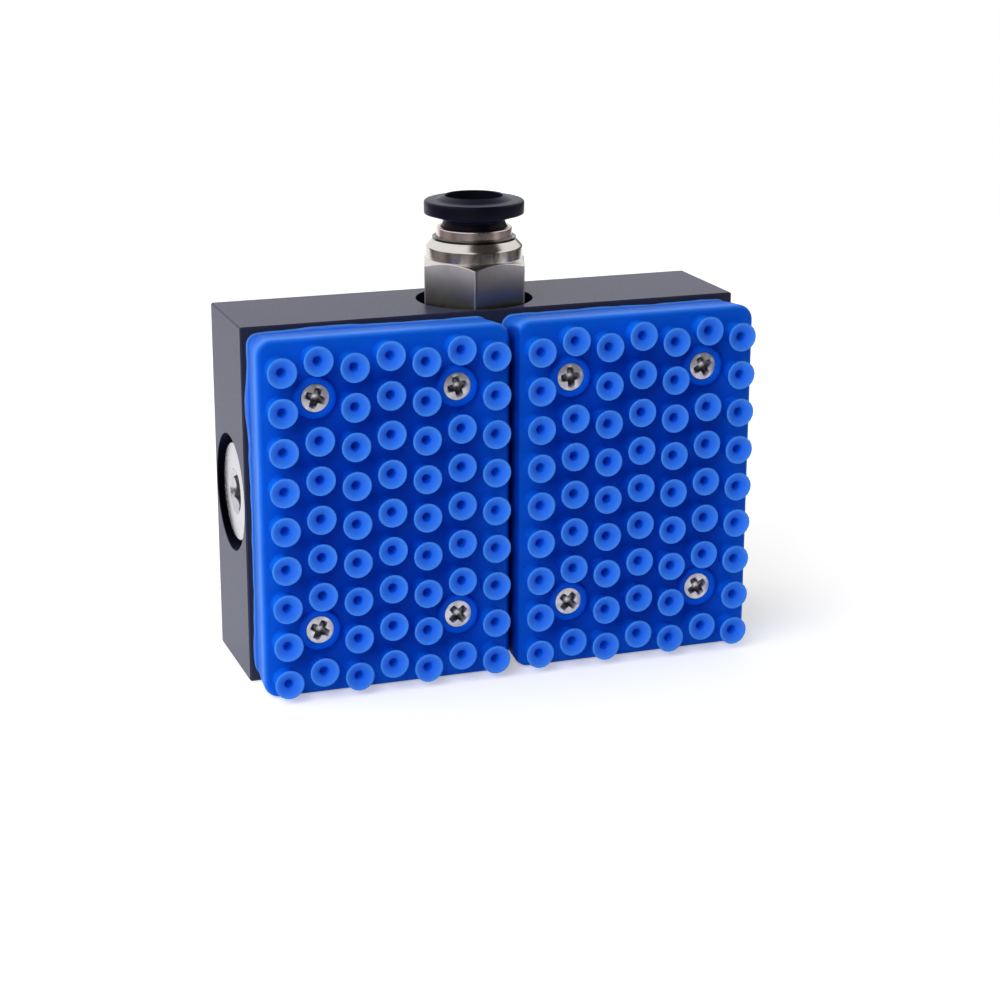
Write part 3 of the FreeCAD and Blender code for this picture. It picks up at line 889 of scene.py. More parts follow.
@dataclass
class NozzlePad:
    """A moulded pad: a rounded slab with a field of nozzles and four screw bosses.

    Each bulge of its moulding flash is a place across and up the pad, a width and an amount.
    """

    side: str
    bulges: tuple[tuple[float, float, float, float], ...] = ()
    thickness: float = 7.8
    width: float = 35.4
    height: float = 50.0
    corner: float = 2.2
    corner_points: int = 64
    outline_spacing: float = 0.5
    edge_rounding: float = 0.7
    base_inset: float = 0.7
    base_height: float = 0.8
    groove_depth: float = 0.1
    groove_height: float = 0.55
    back_lift: float = 0.02
    back_inset: float = 1.2
    flash: float = 0.12
    flash_thickness: float = 0.28
    column_pitch: float = 4.95
    row_pitch: float = 5.42
    stagger: float = 1.22
    columns: int = 7
    rows: int = 9
    screw_columns: tuple[int, ...] = (1, 5)
    screw_rows: tuple[int, ...] = (1, 7)
    nozzle_height: float = 2.7
    root_radius: float = 1.8
    stem_radius: float = 1.6
    fillet_height: float = 0.5
    floor_ring: float = 0.08
    flare_drop: float = 0.95
    lip_radius: float = 2.05
    lip_width: float = 0.22
    lip_drop: float = 0.14
    dish_depth: float = 0.62
    throat_width: float = 0.12
    throat_depth: float = 0.25
    bore_radius: float = 0.58
    bore_taper: float = 0.8
    bore_depth: float = 1.75
    bore_point: float = 0.1
    boss_root: float = 3.1
    boss_height: float = 0.8
    seat_height: float = 0.4
    seat_radius: float = 1.93
    seat_depth: float = 0.22
    hole_radius: float = 1.1
    sink_depth: float = 1.1
    hole_floor: float = 3.0
    hole_point: float = 0.1
    ring_points: int = 20
    sharp: float = 55.0

    def centre(self) -> Array:
        """The middle of the pad's back.

        Returns:
            The place in the part's frame.
        """
        low, high = box_mm(f"{self.side}_nozzle_pad")
        middle = (low + high) / 2.0
        return np.array([middle[0], high[1], middle[2]])

    def grid(self) -> tuple[Array, Array]:
        """The nozzles' and the screws' places on the pad.

        Columns stand a pitch apart, and odd ones are raised over even ones by the stagger.

        Returns:
            Offsets of the nozzles and of the screws, each in the pad's own axes.
        """
        column, row = np.meshgrid(np.arange(self.columns), np.arange(self.rows), indexing="ij")
        across = (column - self.columns // 2) * self.column_pitch
        lift = np.where(column % 2 == 1, 0.5, -0.5) * self.stagger
        up = (self.rows // 2 - row) * self.row_pitch + lift
        offsets = np.stack((across, up, np.zeros_like(up)), axis=-1).reshape(-1, 3)
        taken = np.isin(column, self.screw_columns) & np.isin(row, self.screw_rows)
        return offsets[~taken.ravel()], offsets[taken.ravel()]

    def nozzle(self) -> Surface:
        """One nozzle, turned from its profile and open at its root.

        A quarter ellipse rises from the floor to a stem that flares to a thin rounded lip, and a
        cone falls from the lip to the bore.

        Returns:
            The surface, standing on the slab's front.
        """
        floor, tip = self.thickness, self.thickness + self.nozzle_height
        stem, lip, bore = self.stem_radius, self.lip_radius, self.bore_radius
        dish, bottom = tip - self.dish_depth, tip - self.bore_depth
        turn = np.linspace(0.0, math.pi / 2.0, 5)[:-1]
        fillet = np.stack((
            self.root_radius - (self.root_radius - stem) * np.sin(turn),
            floor + self.fillet_height * (1.0 - np.cos(turn)),
        ), axis=-1)
        upper = rounded((
            (stem, floor + self.fillet_height, 0.0),
            (stem + 0.06, tip - self.flare_drop, 0.8),
            (lip, tip - self.lip_drop, 0.1),
            (lip - 0.04, tip, 0.08),
            (lip - self.lip_width, tip, 0.1),
            (bore + self.throat_width, dish, 0.2),
            (bore, dish - self.throat_depth, 0.0),
            (bore * self.bore_taper, bottom, 0.0),
        ), steps=2)
        on_floor = [[self.root_radius + self.floor_ring, floor]]
        profile = np.concatenate((on_floor, fillet, upper))
        return capped(lathe(profile, self.ring_points), (0.0, 0.0, bottom - self.bore_point))

    def boss(self) -> Surface:
        """The raised ring round a screw, open at its root, its top falling to the head's seat.

        Below the seat the hole follows the screw's cone and shank.

        Returns:
            The surface, standing on the slab's front.
        """
        floor, foot = self.thickness, self.hole_floor
        top, seat = floor + self.boss_height, floor + self.seat_height
        profile = rounded((
            (self.boss_root + self.floor_ring, floor, 0.0),
            (self.boss_root - 0.1, floor, 0.6),
            (self.boss_root - 0.3, top, 0.9),
            (self.seat_radius + 0.15, top - 0.1, 0.5),
            (self.seat_radius, seat + 0.05, 0.1),
            (self.seat_radius, seat - self.seat_depth, 0.0),
            (self.hole_radius, seat - self.sink_depth, 0.0),
            (self.hole_radius, foot, 0.0),
        ), steps=4)
        return capped(lathe(profile, 2 * self.ring_points), (0.0, 0.0, foot - self.hole_point))

    def outline(self) -> tuple[Array, Array]:
        """The slab's rounded rectangle as evenly spaced points with their outward normals.

        Returns:
            The points and the normals, two coordinates each.
        """
        angles = ring_angles(self.corner_points) + FULL_TURN / self.corner_points / 2.0
        normals = np.stack((np.cos(angles), np.sin(angles)), axis=-1)
        half = np.array([self.width, self.height]) / 2.0 - self.corner
        points = np.sign(normals) * half + normals * self.corner
        closed = np.concatenate((points, points[:1]))
        turning = np.concatenate((normals, normals[:1]))
        run = np.concatenate(([0.0], np.cumsum(np.linalg.norm(np.diff(closed, axis=0), axis=1))))
        stations = np.linspace(0.0, run[-1], int(run[-1] / self.outline_spacing), endpoint=False)
        spots = np.stack([np.interp(stations, run, closed[:, k]) for k in (0, 1)], axis=-1)
        facing = np.stack([np.interp(stations, run, turning[:, k]) for k in (0, 1)], axis=-1)
        return spots, facing / np.linalg.norm(facing, axis=1, keepdims=True)

    def flash_reach(self, spots: Array) -> Array:
        """How far the moulding flash stands out round the slab's base.

        Sine waves of whole counts round the outline are added up, so the line is uneven and
        closes on itself, and each bulge adds a bell curve about its own place.

        Args:
            spots: The outline's points.

        Returns:
            One reach for each point.
        """
        turn = ring_angles(len(spots))
        phase = 0.0 if self.side == "left" else 1.7
        wave = 0.35 * np.sin(7 * turn + phase) + 0.3 * np.sin(13 * turn + 2.1 * phase + 0.6)
        ripple = 0.2 * np.sin(31 * turn + 1.3) + 0.12 * np.sin(57 * turn + phase)
        reach = self.flash * (1.0 + wave + ripple)
        for across, up, width, amount in self.bulges:
            away = np.linalg.norm(spots - np.array([across, up]), axis=1)
            reach += amount * np.exp(-((away / width) ** 2))
        return reach

    def slab(self) -> Surface:
        """The slab's edge and back: a profile carried round its outline, open at the front.

        Each row of the profile stands in from the outline by its inset, along the outline's
        normal, at its own height. From the front a quarter circle turns into the flank, which
        leans in to the base. Of the last rows, all but the innermost stand out by the flash.

        Returns:
            The surface, whose first points are the rim of the slab's front.
        """
        spots, normals = self.outline()
        quarter = np.linspace(math.pi / 2.0, 0.0, 8)
        rounding, top = self.edge_rounding, self.thickness
        insets = rounding * (1 - np.cos(quarter))
        edge = np.stack((insets, top - rounding * (1 - np.sin(quarter))), axis=-1)
        edge = np.concatenate(([[rounding + self.floor_ring, top]], edge))
        inset, sheet, back = self.base_inset, self.flash_thickness, self.back_lift
        base = np.array([
            [0.4 * inset, 0.5 * top],
            [inset, self.base_height],
            [inset + self.groove_depth, self.groove_height],
            [inset + 0.02, sheet + 0.05],
            [inset, sheet],
            [inset, back],
            [inset + self.back_inset, back],
        ])
        profile = np.concatenate((edge, base))
        reach = np.zeros((len(profile), len(spots)))
        reach[-4:-1] = self.flash_reach(spots) * np.array([[0.8], [1.0], [1.0]])
        inward = (profile[:, 0:1] - reach)[..., None]
        flat = spots[None] - normals[None] * inward
        upright = np.broadcast_to(profile[:, 1:2, None], (len(profile), len(spots), 1))
        rings = np.concatenate((flat, upright), axis=-1)
        return capped(rings, (0.0, 0.0, back)).flipped()

    def shell(self) -> Surface:
        """The whole moulding as one closed shell in the pad's own axes.

        The slab, the nozzles and the bosses each leave a rim open on the front, and a flat
        floor between the rims joins them.

        Returns:
            The closed shell.
        """
        nozzles, screws = self.grid()
        slab, nozzle, boss = self.slab(), self.nozzle(), self.boss()
        whole = joined([slab, nozzle.repeated(nozzles), boss.repeated(screws)])
        rims = [np.arange(len(self.outline()[0]))]
        start = len(slab.points)
        fields = ((nozzle, len(nozzles), self.ring_points), (boss, len(screws), 2 * self.ring_points))
        for post, count, points in fields:
            rims += [start + k * len(post.points) + np.arange(points) for k in range(count)]
            start += count * len(post.points)
        floor = floor_between(whole.points, rims)
        return Surface(whole.points, [*whole.faces, floor])

    def build(self, material: Material) -> None:
        """Make the moulding and let it stand for the pad's node.

        Args:
            material: The silicone finish.
        """
        placed = self.shell().placed(Facing.FRONT, self.centre())
        piece = placed.outward().to_object(f"{self.side}_pad_moulding", material, self.sharp)
        add_piece(piece, f"{self.side}_nozzle_pad", "cup")


@dataclass
class ScrewSet:
    """The four cross-recess screws of one pad."""

    pad: NozzlePad
    turns: tuple[float, ...]
    head_radius: float = 1.9
    head_rim: float = 0.2
    head_crown: float = 0.1
    shank_radius: float = 1.0
    length: float = 14.0
    arm_width: float = 1.05
    arm_taper: float = 0.25
    arm_reach: float = 1.42
    wall_edge: float = 1.15
    wall_band: float = 0.3
    end_edge: float = 1.02
    end_band: float = 0.25
    recess_depth: float = 0.85
    floor_rise: float = 0.4
    sharp: float = 35.0

    def head_lines(self) -> Array:
        """Grid lines across the head, close together at the recess's walls.

        Returns:
            Positions from -1 to 1 of the head's radius.
        """
        at_wall = np.array([0.0, 0.45, 0.8, 1.05, 1.35]) * (self.arm_width / 2.0 / self.head_radius)
        at_tip = np.array([0.62, 0.86, 1.0]) * (self.arm_reach / self.head_radius)
        half = np.concatenate((at_wall, at_tip, [0.9, 1.0]))
        return np.concatenate((-half[:0:-1], half))

    def recess(self, across: Array, aside: Array) -> Array:
        """How deep the cross lies under the head's top at each place.

        The arm's half width shrinks from the middle to its end, the wall falls across a narrow
        band at that width, and the floor rises from the middle to the arm's end.

        Args:
            across: Distances along one pair of arms.
            aside: Distances along the other pair.

        Returns:
            Depths, zero off the cross.
        """
        near = np.minimum(np.abs(across), np.abs(aside))
        along = np.maximum(np.abs(across), np.abs(aside))
        wall = self.arm_width / 2.0 * (1.0 - self.arm_taper * along / self.arm_reach)
        in_width = np.clip((self.wall_edge * wall - near) / (self.wall_band * wall), 0.0, 1.0)
        end, band = self.arm_reach * self.end_edge, self.end_band * self.arm_reach
        in_length = np.clip((end - along) / band, 0.0, 1.0)
        floor = 1.0 - self.floor_rise * along / self.arm_reach
        return self.recess_depth * in_width * in_length * floor

    def screw(self) -> Surface:
        """One screw: a head disc with a cross pressed into it, a cone and a plain shank.

        The disc is a square grid drawn on to a circle: x is u times the root of 1 less half of
        v squared, and y the same with u and v changed over. Its top is a low crown less the
        cross.

        Returns:
            The closed shell, its head's rim at height zero.
        """
        lines = self.head_lines()
        u, v = np.meshgrid(lines, lines, indexing="ij")
        x = u * np.sqrt(1.0 - v**2 / 2.0) * self.head_radius
        y = v * np.sqrt(1.0 - u**2 / 2.0) * self.head_radius
        crown = self.head_crown * (1.0 - (x**2 + y**2) / self.head_radius**2)
        z = crown - self.recess(u * self.head_radius, v * self.head_radius)
        top = np.stack((x, y, z), axis=-1).reshape(-1, 3)
        count = len(lines)
        index = np.arange(count * count).reshape(count, count)
        quads = np.stack((index[:-1, :-1], index[1:, :-1], index[1:, 1:], index[:-1, 1:]), axis=-1)
        border = np.concatenate((index[:-1, 0], index[-1, :-1], index[:0:-1, -1], index[0, :0:-1]))
        around = np.arctan2(top[border, 1], top[border, 0])
        cone = self.head_rim + self.head_radius - self.shank_radius
        radii = np.array([self.head_radius, self.shank_radius, self.shank_radius])[:, None]
        levels = np.array([-self.head_rim, -cone, -self.length])[:, None]
        upright = np.broadcast_to(levels, (3, len(border)))
        rows = np.stack((radii * np.cos(around), radii * np.sin(around), upright), axis=-1)
        lower = rows.reshape(-1, 3)
        rings = np.concatenate((border[None], len(top) + numbered(rows)))
        downward = [0, 3, 2, 1]
        walls = bands(rings)[:, downward]
        tip = fan(rings[-1], len(top) + len(lower))[:, ::-1]
        points = np.concatenate((top, lower, [[0.0, 0.0, -self.length]]))
        return Surface(points, [np.concatenate((quads.reshape(-1, 4), walls)), tip])

    def build(self, material: Material) -> None:
        """Make the screws and let them stand for the pad's screw node.

        Args:
            material: The screws' finish.
        """
        side, screw = self.pad.side, self.screw()
        seats = self.pad.grid()[1] + np.array([0.0, 0.0, self.pad.thickness + self.pad.seat_height])
        turned = [screw.turned(math.radians(turn)) for turn in self.turns]
        shells = [shell.repeated(seat[None]) for shell, seat in zip(turned, seats)]
        placed = joined(shells).placed(Facing.FRONT, self.pad.centre())
        piece = placed.outward().to_object(f"{side}_screw_set", material, self.sharp)
        add_piece(piece, f"{side}_pad_screws", "cup")


@dataclass
class TubeFitting:
    """The push-in fitting: hex body, mouth ring and release collar."""

    hex_flats: float = 14.0
    hex_turn: float = 12.0
    hex_height: float = 9.55
    hex_slope: float = 30.0
    foot_chamfer: float = 0.25
    foot_height: float = 0.2
    edge_ease: float = 0.03
    shoulder_radius: float = 6.8
    shoulder_height: float = 1.6
    shoulder_round: float = 0.5
    cone_height: float = 1.35
    rim_radius: float = 5.9
    rim_edge: float = 0.36
    rim_dip: float = 0.25
    corner_wear: float = 0.115
    corner_left: float = 0.3
    bore_radius: float = 5.35
    tube_radius: float = 4.05
    passage_radius: float = 3.0
    stop_height: float = 1.0
    cartridge_floor: float = 4.4
    stub_radius: float = 4.815
    stub_length: float = 8.0
    ring_radius: float = 5.32
    ring_rise: float = 1.35
    ring_low: float = 8.4
    ledge: float = 2.0
    sleeve_radius: float = 4.6
    sleeve_length: float = 2.5
    neck_radius: float = 4.22
    sleeve_gap: float = 0.1
    bead: float = 0.3
    bead_height: float = 1.0
    travel: float = 1.0
    flange_radius: float = 7.05
    underside_rise: float = 0.77
    edge_height: float = 1.83
    top_rise: float = 0.65
    mouth_width: float = 1.3
    columns: int = 240
    sharp: float = 40.0

    def seat(self) -> Array:
        """The middle of the hex's underside in the part's frame."""
        return np.array([0.0, 0.0, box_mm("fitting_seal")[1][2]])

    def rim_top(self) -> float:
        """The height of the body's rim over the hex's underside."""
        return self.hex_height + self.shoulder_height + self.cone_height

    def ring_top(self) -> float:
        """The height of the mouth ring's top over the hex's underside."""
        return self.rim_top() + self.ring_rise

    def worn_radius(self) -> float:
        """The distance from the axis at which the hex's corners begin to be worn."""
        return self.hex_flats / 2.0 / math.cos(math.pi / 6.0) - self.corner_wear

    def cone_slope(self) -> float:
        """How much the hex's chamfer cone falls for each millimetre outwards."""
        return math.tan(math.radians(self.hex_slope))

    def hex_rows(self) -> Array:
        """Rows up the hex, from its underside to where its corners' cone meets the shoulder.

        The radius is the hexagon's, eased at its corners, up to the height where a cone of the
        given slope, which ends at the shoulder, cuts it. So the rows follow the curved border
        that the cone leaves on each flat.

        Returns:
            Radius and height by row and by place round the ring.
        """
        angles = ring_angles(self.columns) - math.radians(self.hex_turn)
        sharp = hexagon_radius(self.hex_flats, angles)
        worn = self.worn_radius()
        edge = np.where(sharp > worn, worn + (sharp - worn) * self.corner_left, sharp)
        border = self.hex_height - (edge - self.shoulder_radius) * self.cone_slope()
        rows = (
            (edge - self.foot_chamfer, np.zeros_like(edge)),
            (edge, np.full_like(edge, self.foot_height)),
            (edge, 0.5 * border),
            (edge, border - self.edge_ease),
            (edge - self.edge_ease, border + self.edge_ease / 3.0),
            (0.5 * (edge + self.shoulder_radius), 0.5 * (border + self.hex_height)),
        )
        return np.stack([np.stack(row, axis=-1) for row in rows])

    def body(self) -> Surface:
        """The hex body with its bore: a lathe profile whose hex rows change round the ring.

        Returns:
            The closed shell.
        """
        top = self.hex_height
        side, rim = top + self.shoulder_height, self.rim_top()
        stub = rounded((
            (self.passage_radius, -self.stub_length, 0.0),
            (self.stub_radius, -self.stub_length, 0.4),
            (self.stub_radius, 0.0, 0.0),
        ))
        upper = rounded((
            (self.shoulder_radius, top, 0.0),
            (self.shoulder_radius, side, self.shoulder_round),
            (self.rim_radius, rim - self.rim_edge, 0.06),
            (self.rim_radius, rim, 0.06),
            (self.bore_radius, rim - self.rim_dip, 0.0),
            (self.bore_radius, self.cartridge_floor, 0.0),
            (self.tube_radius, self.cartridge_floor, 0.0),
            (self.tube_radius, self.stop_height, 0.0),
            (self.passage_radius, self.stop_height, 0.0),
        ))
        rows = (all_round(stub, self.columns), self.hex_rows(), all_round(upper, self.columns))
        return looped(lathe(np.concatenate(rows), self.columns))

    def mouth_ring(self) -> Surface:
        """The thin guide ring that stands out of the body's mouth, turned from its section.

        Returns:
            The closed shell.
        """
        guide = self.sleeve_radius + self.sleeve_gap
        bead_room = guide + self.bead
        ledge = self.ring_top() - self.ledge
        section = rounded((
            (bead_room, self.ring_low, 0.0),
            (self.ring_radius, self.ring_low, 0.1),
            (self.ring_radius, self.ring_top(), 0.28),
            (guide, self.ring_top(), 0.12),
            (guide, ledge, 0.0),
            (bead_room, ledge, 0.0),
        ), closed=True)
        return looped(lathe(section, self.columns // 2))

    def collar(self) -> Surface:
        """The release collar, turned from its section: a bead at its foot, a flange, a raised mouth.

        Returns:
            The closed shell.
        """
        bead_top = self.ring_top() - self.ledge - self.sleeve_gap
        foot = bead_top - self.sleeve_length
        underside = self.ring_top() + self.travel + self.sleeve_gap
        edge_low = underside + self.underside_rise
        edge_top = edge_low + self.edge_height
        mouth = edge_top + self.top_rise
        section = rounded((
            (self.tube_radius, foot, 0.0),
            (self.sleeve_radius - 0.25, foot, 0.1),
            (self.sleeve_radius + self.bead, bead_top - self.bead_height, 0.1),
            (self.sleeve_radius + self.bead, bead_top, 0.1),
            (self.sleeve_radius, bead_top, 0.0),
            (self.sleeve_radius, self.ring_top() + 0.1, 0.2),
            (self.neck_radius, underside - 0.1, 0.2),
            (self.flange_radius - 0.02, edge_low, 0.16),
            (self.flange_radius, edge_top, 0.42),
            (self.tube_radius + self.mouth_width, edge_top + 0.05, 0.9),
            (self.tube_radius + 0.15, mouth, 0.12),
            (self.tube_radius, mouth - 0.12, 0.1),
        ), steps=6, closed=True)
        return looped(lathe(section, self.columns // 2))

    def build(self, nickel: Material, ring: Material, plastic: Material) -> None:
        """Make the three visible pieces of the fitting.

        Args:
            nickel: The body's finish.
            ring: The mouth ring's finish.
            plastic: The collar's finish.
        """
        pieces = (
            ("fitting_shell", self.body(), nickel, "fitting_body", "cup", "nickel_plate"),
            ("mouth_ring", self.mouth_ring(), ring, "guide_ring", "cup", "ring_metal"),
            ("release_collar", self.collar(), plastic, "release_sleeve", "sleeve", "black_plastic"),
        )
        for name, shell, material, node, body, slot in pieces:
            placed = shell.placed(Facing.UP, self.seat()).outward()
            add_piece(placed.to_object(name, material, self.sharp), node, body)


@dataclass
class PortPlug:
    """The socket plug that closes the side port."""

    flange_radius: float = 7.0
    bevel: float = 0.35
    socket_flats: float = 5.0
    socket_depth: float = 2.6
    socket_turn: float = 30.0
    mouth_radius: float = 3.25
    mouth_slope: float = 45.0
    drill_radius: float = 1.9
    drill_point: float = 0.45
    stub_radius: float = 4.815
    stub_length: float = 8.0
    columns: int = 144
    sharp: float = 40.0

    def seat(self) -> Array:
        """The middle of the flange's underside.

        Returns:
            The place in the part's frame.
        """
        low, high = box_mm("plug_seal")
        middle = (low + high) / 2.0
        return np.array([low[0], middle[1], middle[2]])

    def flange_thickness(self) -> float:
        """The flange's thickness, from the node's own place."""
        return float(self.seat()[0] - box_mm("port_plug")[0][0])

    def shell(self) -> Surface:
        """The plug, with a ring for each level of its profile and a pole at each end.

        Rings down to the socket's mouth are round. From there a cone sinks to the socket's
        hexagon, so that ring has the hexagon's radius at the height where the cone meets it. The
        socket's floor is flat round the mark of a drill's point.

        Returns:
            The closed shell.
        """
        top = self.flange_thickness()
        outer = rounded((
            (0.0, -self.stub_length, 0.0),
            (self.stub_radius, -self.stub_length, 0.5),
            (self.stub_radius, 0.0, 0.0),
            (self.flange_radius, 0.0, 0.15),
            (self.flange_radius, top, self.bevel),
            (self.mouth_radius, top, 0.0),
        ))[1:]
        angles = ring_angles(self.columns) + math.radians(self.socket_turn)
        hexagon = hexagon_radius(self.socket_flats, angles)
        border = top - (self.mouth_radius - hexagon) * math.tan(math.radians(self.mouth_slope))
        floor = np.full_like(border, top - self.socket_depth)
        drill = np.full_like(floor, self.drill_radius)
        socket = np.stack(((hexagon, hexagon, drill), (border, floor, floor)), axis=-1)
        rings = lathe(np.concatenate((all_round(outer, self.columns), socket)), self.columns)
        open_shell = capped(rings, (0.0, 0.0, float(floor[0]) - self.drill_point))
        foot = fan(np.arange(self.columns), len(open_shell.points))[:, ::-1]
        points = np.concatenate((open_shell.points, [[0.0, 0.0, -self.stub_length]]))
        return Surface(points, [*open_shell.faces, foot])

    def build(self, material: Material) -> None:
        """Make the plug and let it stand for its node.

        Args:
            material: The plug's finish.
        """
        placed = self.shell().placed(Facing.LEFT, self.seat()).outward()
        piece = placed.to_object("side_plug", material, self.sharp)
        add_piece(piece, "port_plug", "cup")


@dataclass
class Studio:
    """The camera, the white surround, the floor and one soft lamp.

    The ranges of the surround's dark places are shares of a direction, from the light into the
    dark.
    """

    camera_place: Point = (-104.631, -305.408, 117.573)
    camera_yaw: float = -19.5734
    camera_pitch: float = -16.7446
    camera_roll: float = 0.125
    lens: float = 83.545
    sensor: float = 36.0
    nearest: float = 10.0
    floor_front: float = -190.0
    floor_back: float = 1800.0
    floor_left: float = -190.0
    floor_right: float = 260.0
    floor_colour: Colour = (0.9, 0.9, 0.9)
    floor_mottle: float = 0.01
    floor_grain: float = 40.0
    floor_sharp: float = 30.0
    floor_lift: float = 0.42
    surround: Colour = (0.83, 0.83, 0.83)
    overhead: float = 0.8
    overhead_rise: Range = (0.3, 0.6)
    gap_colour: Colour = (0.025, 0.021, 0.019)
    gap_left: Range = (-0.34, -0.18)
    gap_right: Range = (0.72, 0.58)
    gap_back: Range = (0.75, 0.5)
    low_dark: Colour = (0.04, 0.036, 0.034)
    low_light: Colour = (0.32, 0.26, 0.25)
    low_top: Range = (0.3, 0.08)
    low_back: Range = (0.95, 0.8)
    band_scale: float = 2.0
    band_stretch: Point = (1.0, 1.0, 0.1)
    band_range: Range = (0.36, 0.64)
    fill_place: Point = (-230.0, -220.0, 210.0)
    fill_aim: Point = (0.0, 0.0, 25.0)
    fill_side: float = 280.0
    fill_power: float = 0.56

    def camera(self) -> None:
        """Set the camera at the photograph's place."""
        data = bpy.data.cameras.new("camera")
        data.lens = self.lens
        data.sensor_width = self.sensor
        data.clip_start = self.nearest * MM
        camera = bpy.data.objects.new("camera", data)
        bpy.context.scene.collection.objects.link(camera)
        tilt = Euler((math.radians(90.0 + self.camera_pitch), 0.0, math.radians(self.camera_yaw)), "XYZ")
        roll = Euler((0.0, 0.0, math.radians(self.camera_roll)), "XYZ")
        camera.matrix_world = (tilt.to_matrix() @ roll.to_matrix()).to_4x4()
        camera.location = Vector(self.camera_place) * MM
        bpy.context.scene.camera = camera

    def rays(self, graph: NodeGraph) -> tuple[Socket, Socket]:
        """Factors that are 1 for rays straight from the camera, and for rays that metal mirrors."""
        path = graph.add("ShaderNodeLightPath").outputs
        return graph.greatest(path["Is Camera Ray"], path["Is Transmission Ray"]), path["Is Glossy Ray"]

    def dark_places(self, graph: NodeGraph, direction: Socket) -> tuple[Socket, Socket]:
        """How far each direction lies in the studio's two dark places.

        They are the low front and sides, and a gap between the left and the right lights that
        runs from the front over the top. Both fade out before the white backdrop.

        Args:
            graph: The world's nodes.
            direction: The direction.

        Returns:
            Two factors from 0 in the light to 1 in the dark, for the low place and the gap.
        """
        shares = graph.axes(direction)
        across, back, up = shares["X"], shares["Y"], shares["Z"]
        low = graph.product(graph.fade(up, self.low_top), graph.fade(back, self.low_back))
        sides = graph.product(graph.fade(across, self.gap_left), graph.fade(across, self.gap_right))
        return low, graph.product(sides, graph.fade(back, self.gap_back))

    def world(self) -> None:
        """A white surround with dark places, which the camera sees as plain white.

        Metal shows the same white outside the dark places, whose low part is broken up by
        upright bands: noise that barely changes with height.
        """
        world = bpy.data.worlds.new("surround")
        graph = NodeGraph(world)
        direction = graph.add("ShaderNodeTexCoord").outputs["Generated"]
        low, gap = self.dark_places(graph, direction)
        noise = graph.noise(self.band_scale, 0.0, self.band_stretch, direction)
        bands_colour = graph.blend(graph.spread(noise, self.band_range), self.low_dark, self.low_light)
        lit = graph.blend(low, self.surround, bands_colour)
        around = graph.add("ShaderNodeBackground")
        graph.link(graph.blend(gap, lit, self.gap_colour), around.inputs["Color"])
        overhead = graph.fade(graph.axes(direction)["Z"], self.overhead_rise)
        graph.link(graph.between(overhead, 1.0, 1.0 + self.overhead), around.inputs["Strength"])
        seen = graph.add("ShaderNodeBackground")
        seen.inputs["Color"].default_value = (1.0, 1.0, 1.0, 1.0)
        straight, glossy = self.rays(graph)
        mirrored = graph.product(glossy, graph.between(graph.greatest(low, gap), 1.0, 0.0))
        mix = graph.add("ShaderNodeMixShader")
        graph.link(graph.greatest(straight, mirrored), mix.inputs["Fac"])
        graph.link(around.outputs["Background"], mix.inputs[1])
        graph.link(seen.outputs["Background"], mix.inputs[2])
        graph.show("ShaderNodeOutputWorld", mix.outputs["Shader"])
        bpy.context.scene.world = world

    def floor(self) -> None:
        """A plain pale floor that takes the shadow and shows as near white, also in metal."""
        material = bpy.data.materials.new("pale_floor")
        graph = NodeGraph(material)
        matt = graph.add("ShaderNodeBsdfDiffuse")
        pale = tuple(c * (1.0 - self.floor_mottle) for c in self.floor_colour)
        grain = graph.noise(self.floor_grain, GRAIN_DETAIL)
        graph.link(graph.blend(grain, pale, self.floor_colour), matt.inputs["Color"])
        glow = graph.add("ShaderNodeEmission")
        seen = graph.greatest(*self.rays(graph))
        graph.link(graph.between(seen, 0.0, self.floor_lift), glow.inputs["Strength"])
        both = graph.add("ShaderNodeAddShader")
        graph.link(matt.outputs["BSDF"], both.inputs[0])
        graph.link(glow.outputs["Emission"], both.inputs[1])
        graph.show("ShaderNodeOutputMaterial", both.outputs["Shader"])
        x = np.array([self.floor_left, self.floor_right, self.floor_right, self.floor_left])
        y = np.array([self.floor_front, self.floor_front, self.floor_back, self.floor_back])
        corners = np.stack((x, y, np.zeros(4)), axis=-1)
        sheet = Surface(corners, [np.array([[0, 1, 2, 3]])])
        sheet.to_object("floor", material, self.floor_sharp)

    def fill(self) -> None:
        """Add a square soft lamp in front, aimed at the part's middle, which metal doesn't show."""
        data = bpy.data.lights.new("fill", "AREA")
        data.size = self.fill_side * MM
        data.energy = self.fill_power
        lamp = bpy.data.objects.new("fill", data)
        lamp.visible_glossy = False
        bpy.context.scene.collection.objects.link(lamp)
        lamp.location = Vector(self.fill_place) * MM
        aim = Vector(self.fill_aim) * MM - lamp.location
        lamp.rotation_euler = aim.to_track_quat("-Z", "Y").to_euler()

    def build(self) -> None:
        """Set up the camera, the surround, the floor and the lamp."""
        bpy.context.scene.view_settings.view_transform = "Standard"
        self.camera()
        self.world()
        self.floor()
        self.fill()
        log.info("studio is set")


def pad_layers(floor: Colour, stem: Colour) -> Stops:
    """The silicone's colours by height over the pad's back: paler where it is thin, and partly painted
    light and shade, with the floor darkened as painted shade among the nozzles, the flank lightened as
    painted light up to a painted highlight along the rounded front edge, and the lips lighter partly as
    painted light.

    Args:
        floor: The colour of the slab's front, partly painted shade.
        stem: The colour of the nozzles' stems and the bosses.

    Returns:
        Heights with their colours.
    """
    flash: Colour = (0.09, 0.26, 0.8)
    base: Colour = (0.018, 0.15, 0.78)
    # The edge colour is a painted highlight along the rounded front edge.
    edge: Colour = (0.065, 0.26, 0.98)
    dish: Colour = (0.02, 0.165, 0.9)
    slope: Colour = (0.042, 0.225, 0.97)
    lip: Colour = (0.062, 0.28, 1.0)
    # The floor's stops are partly painted shade, the flank's rise is painted light, and the lips' stops
    # are partly painted light.
    return (
        (0.0, flash), (0.32, flash), (0.5, base), (4.5, base), (7.25, edge), (7.75, floor),
        (7.85, floor), (8.4, stem), (9.7, stem), (9.92, dish), (10.36, slope), (10.5, lip),
    )


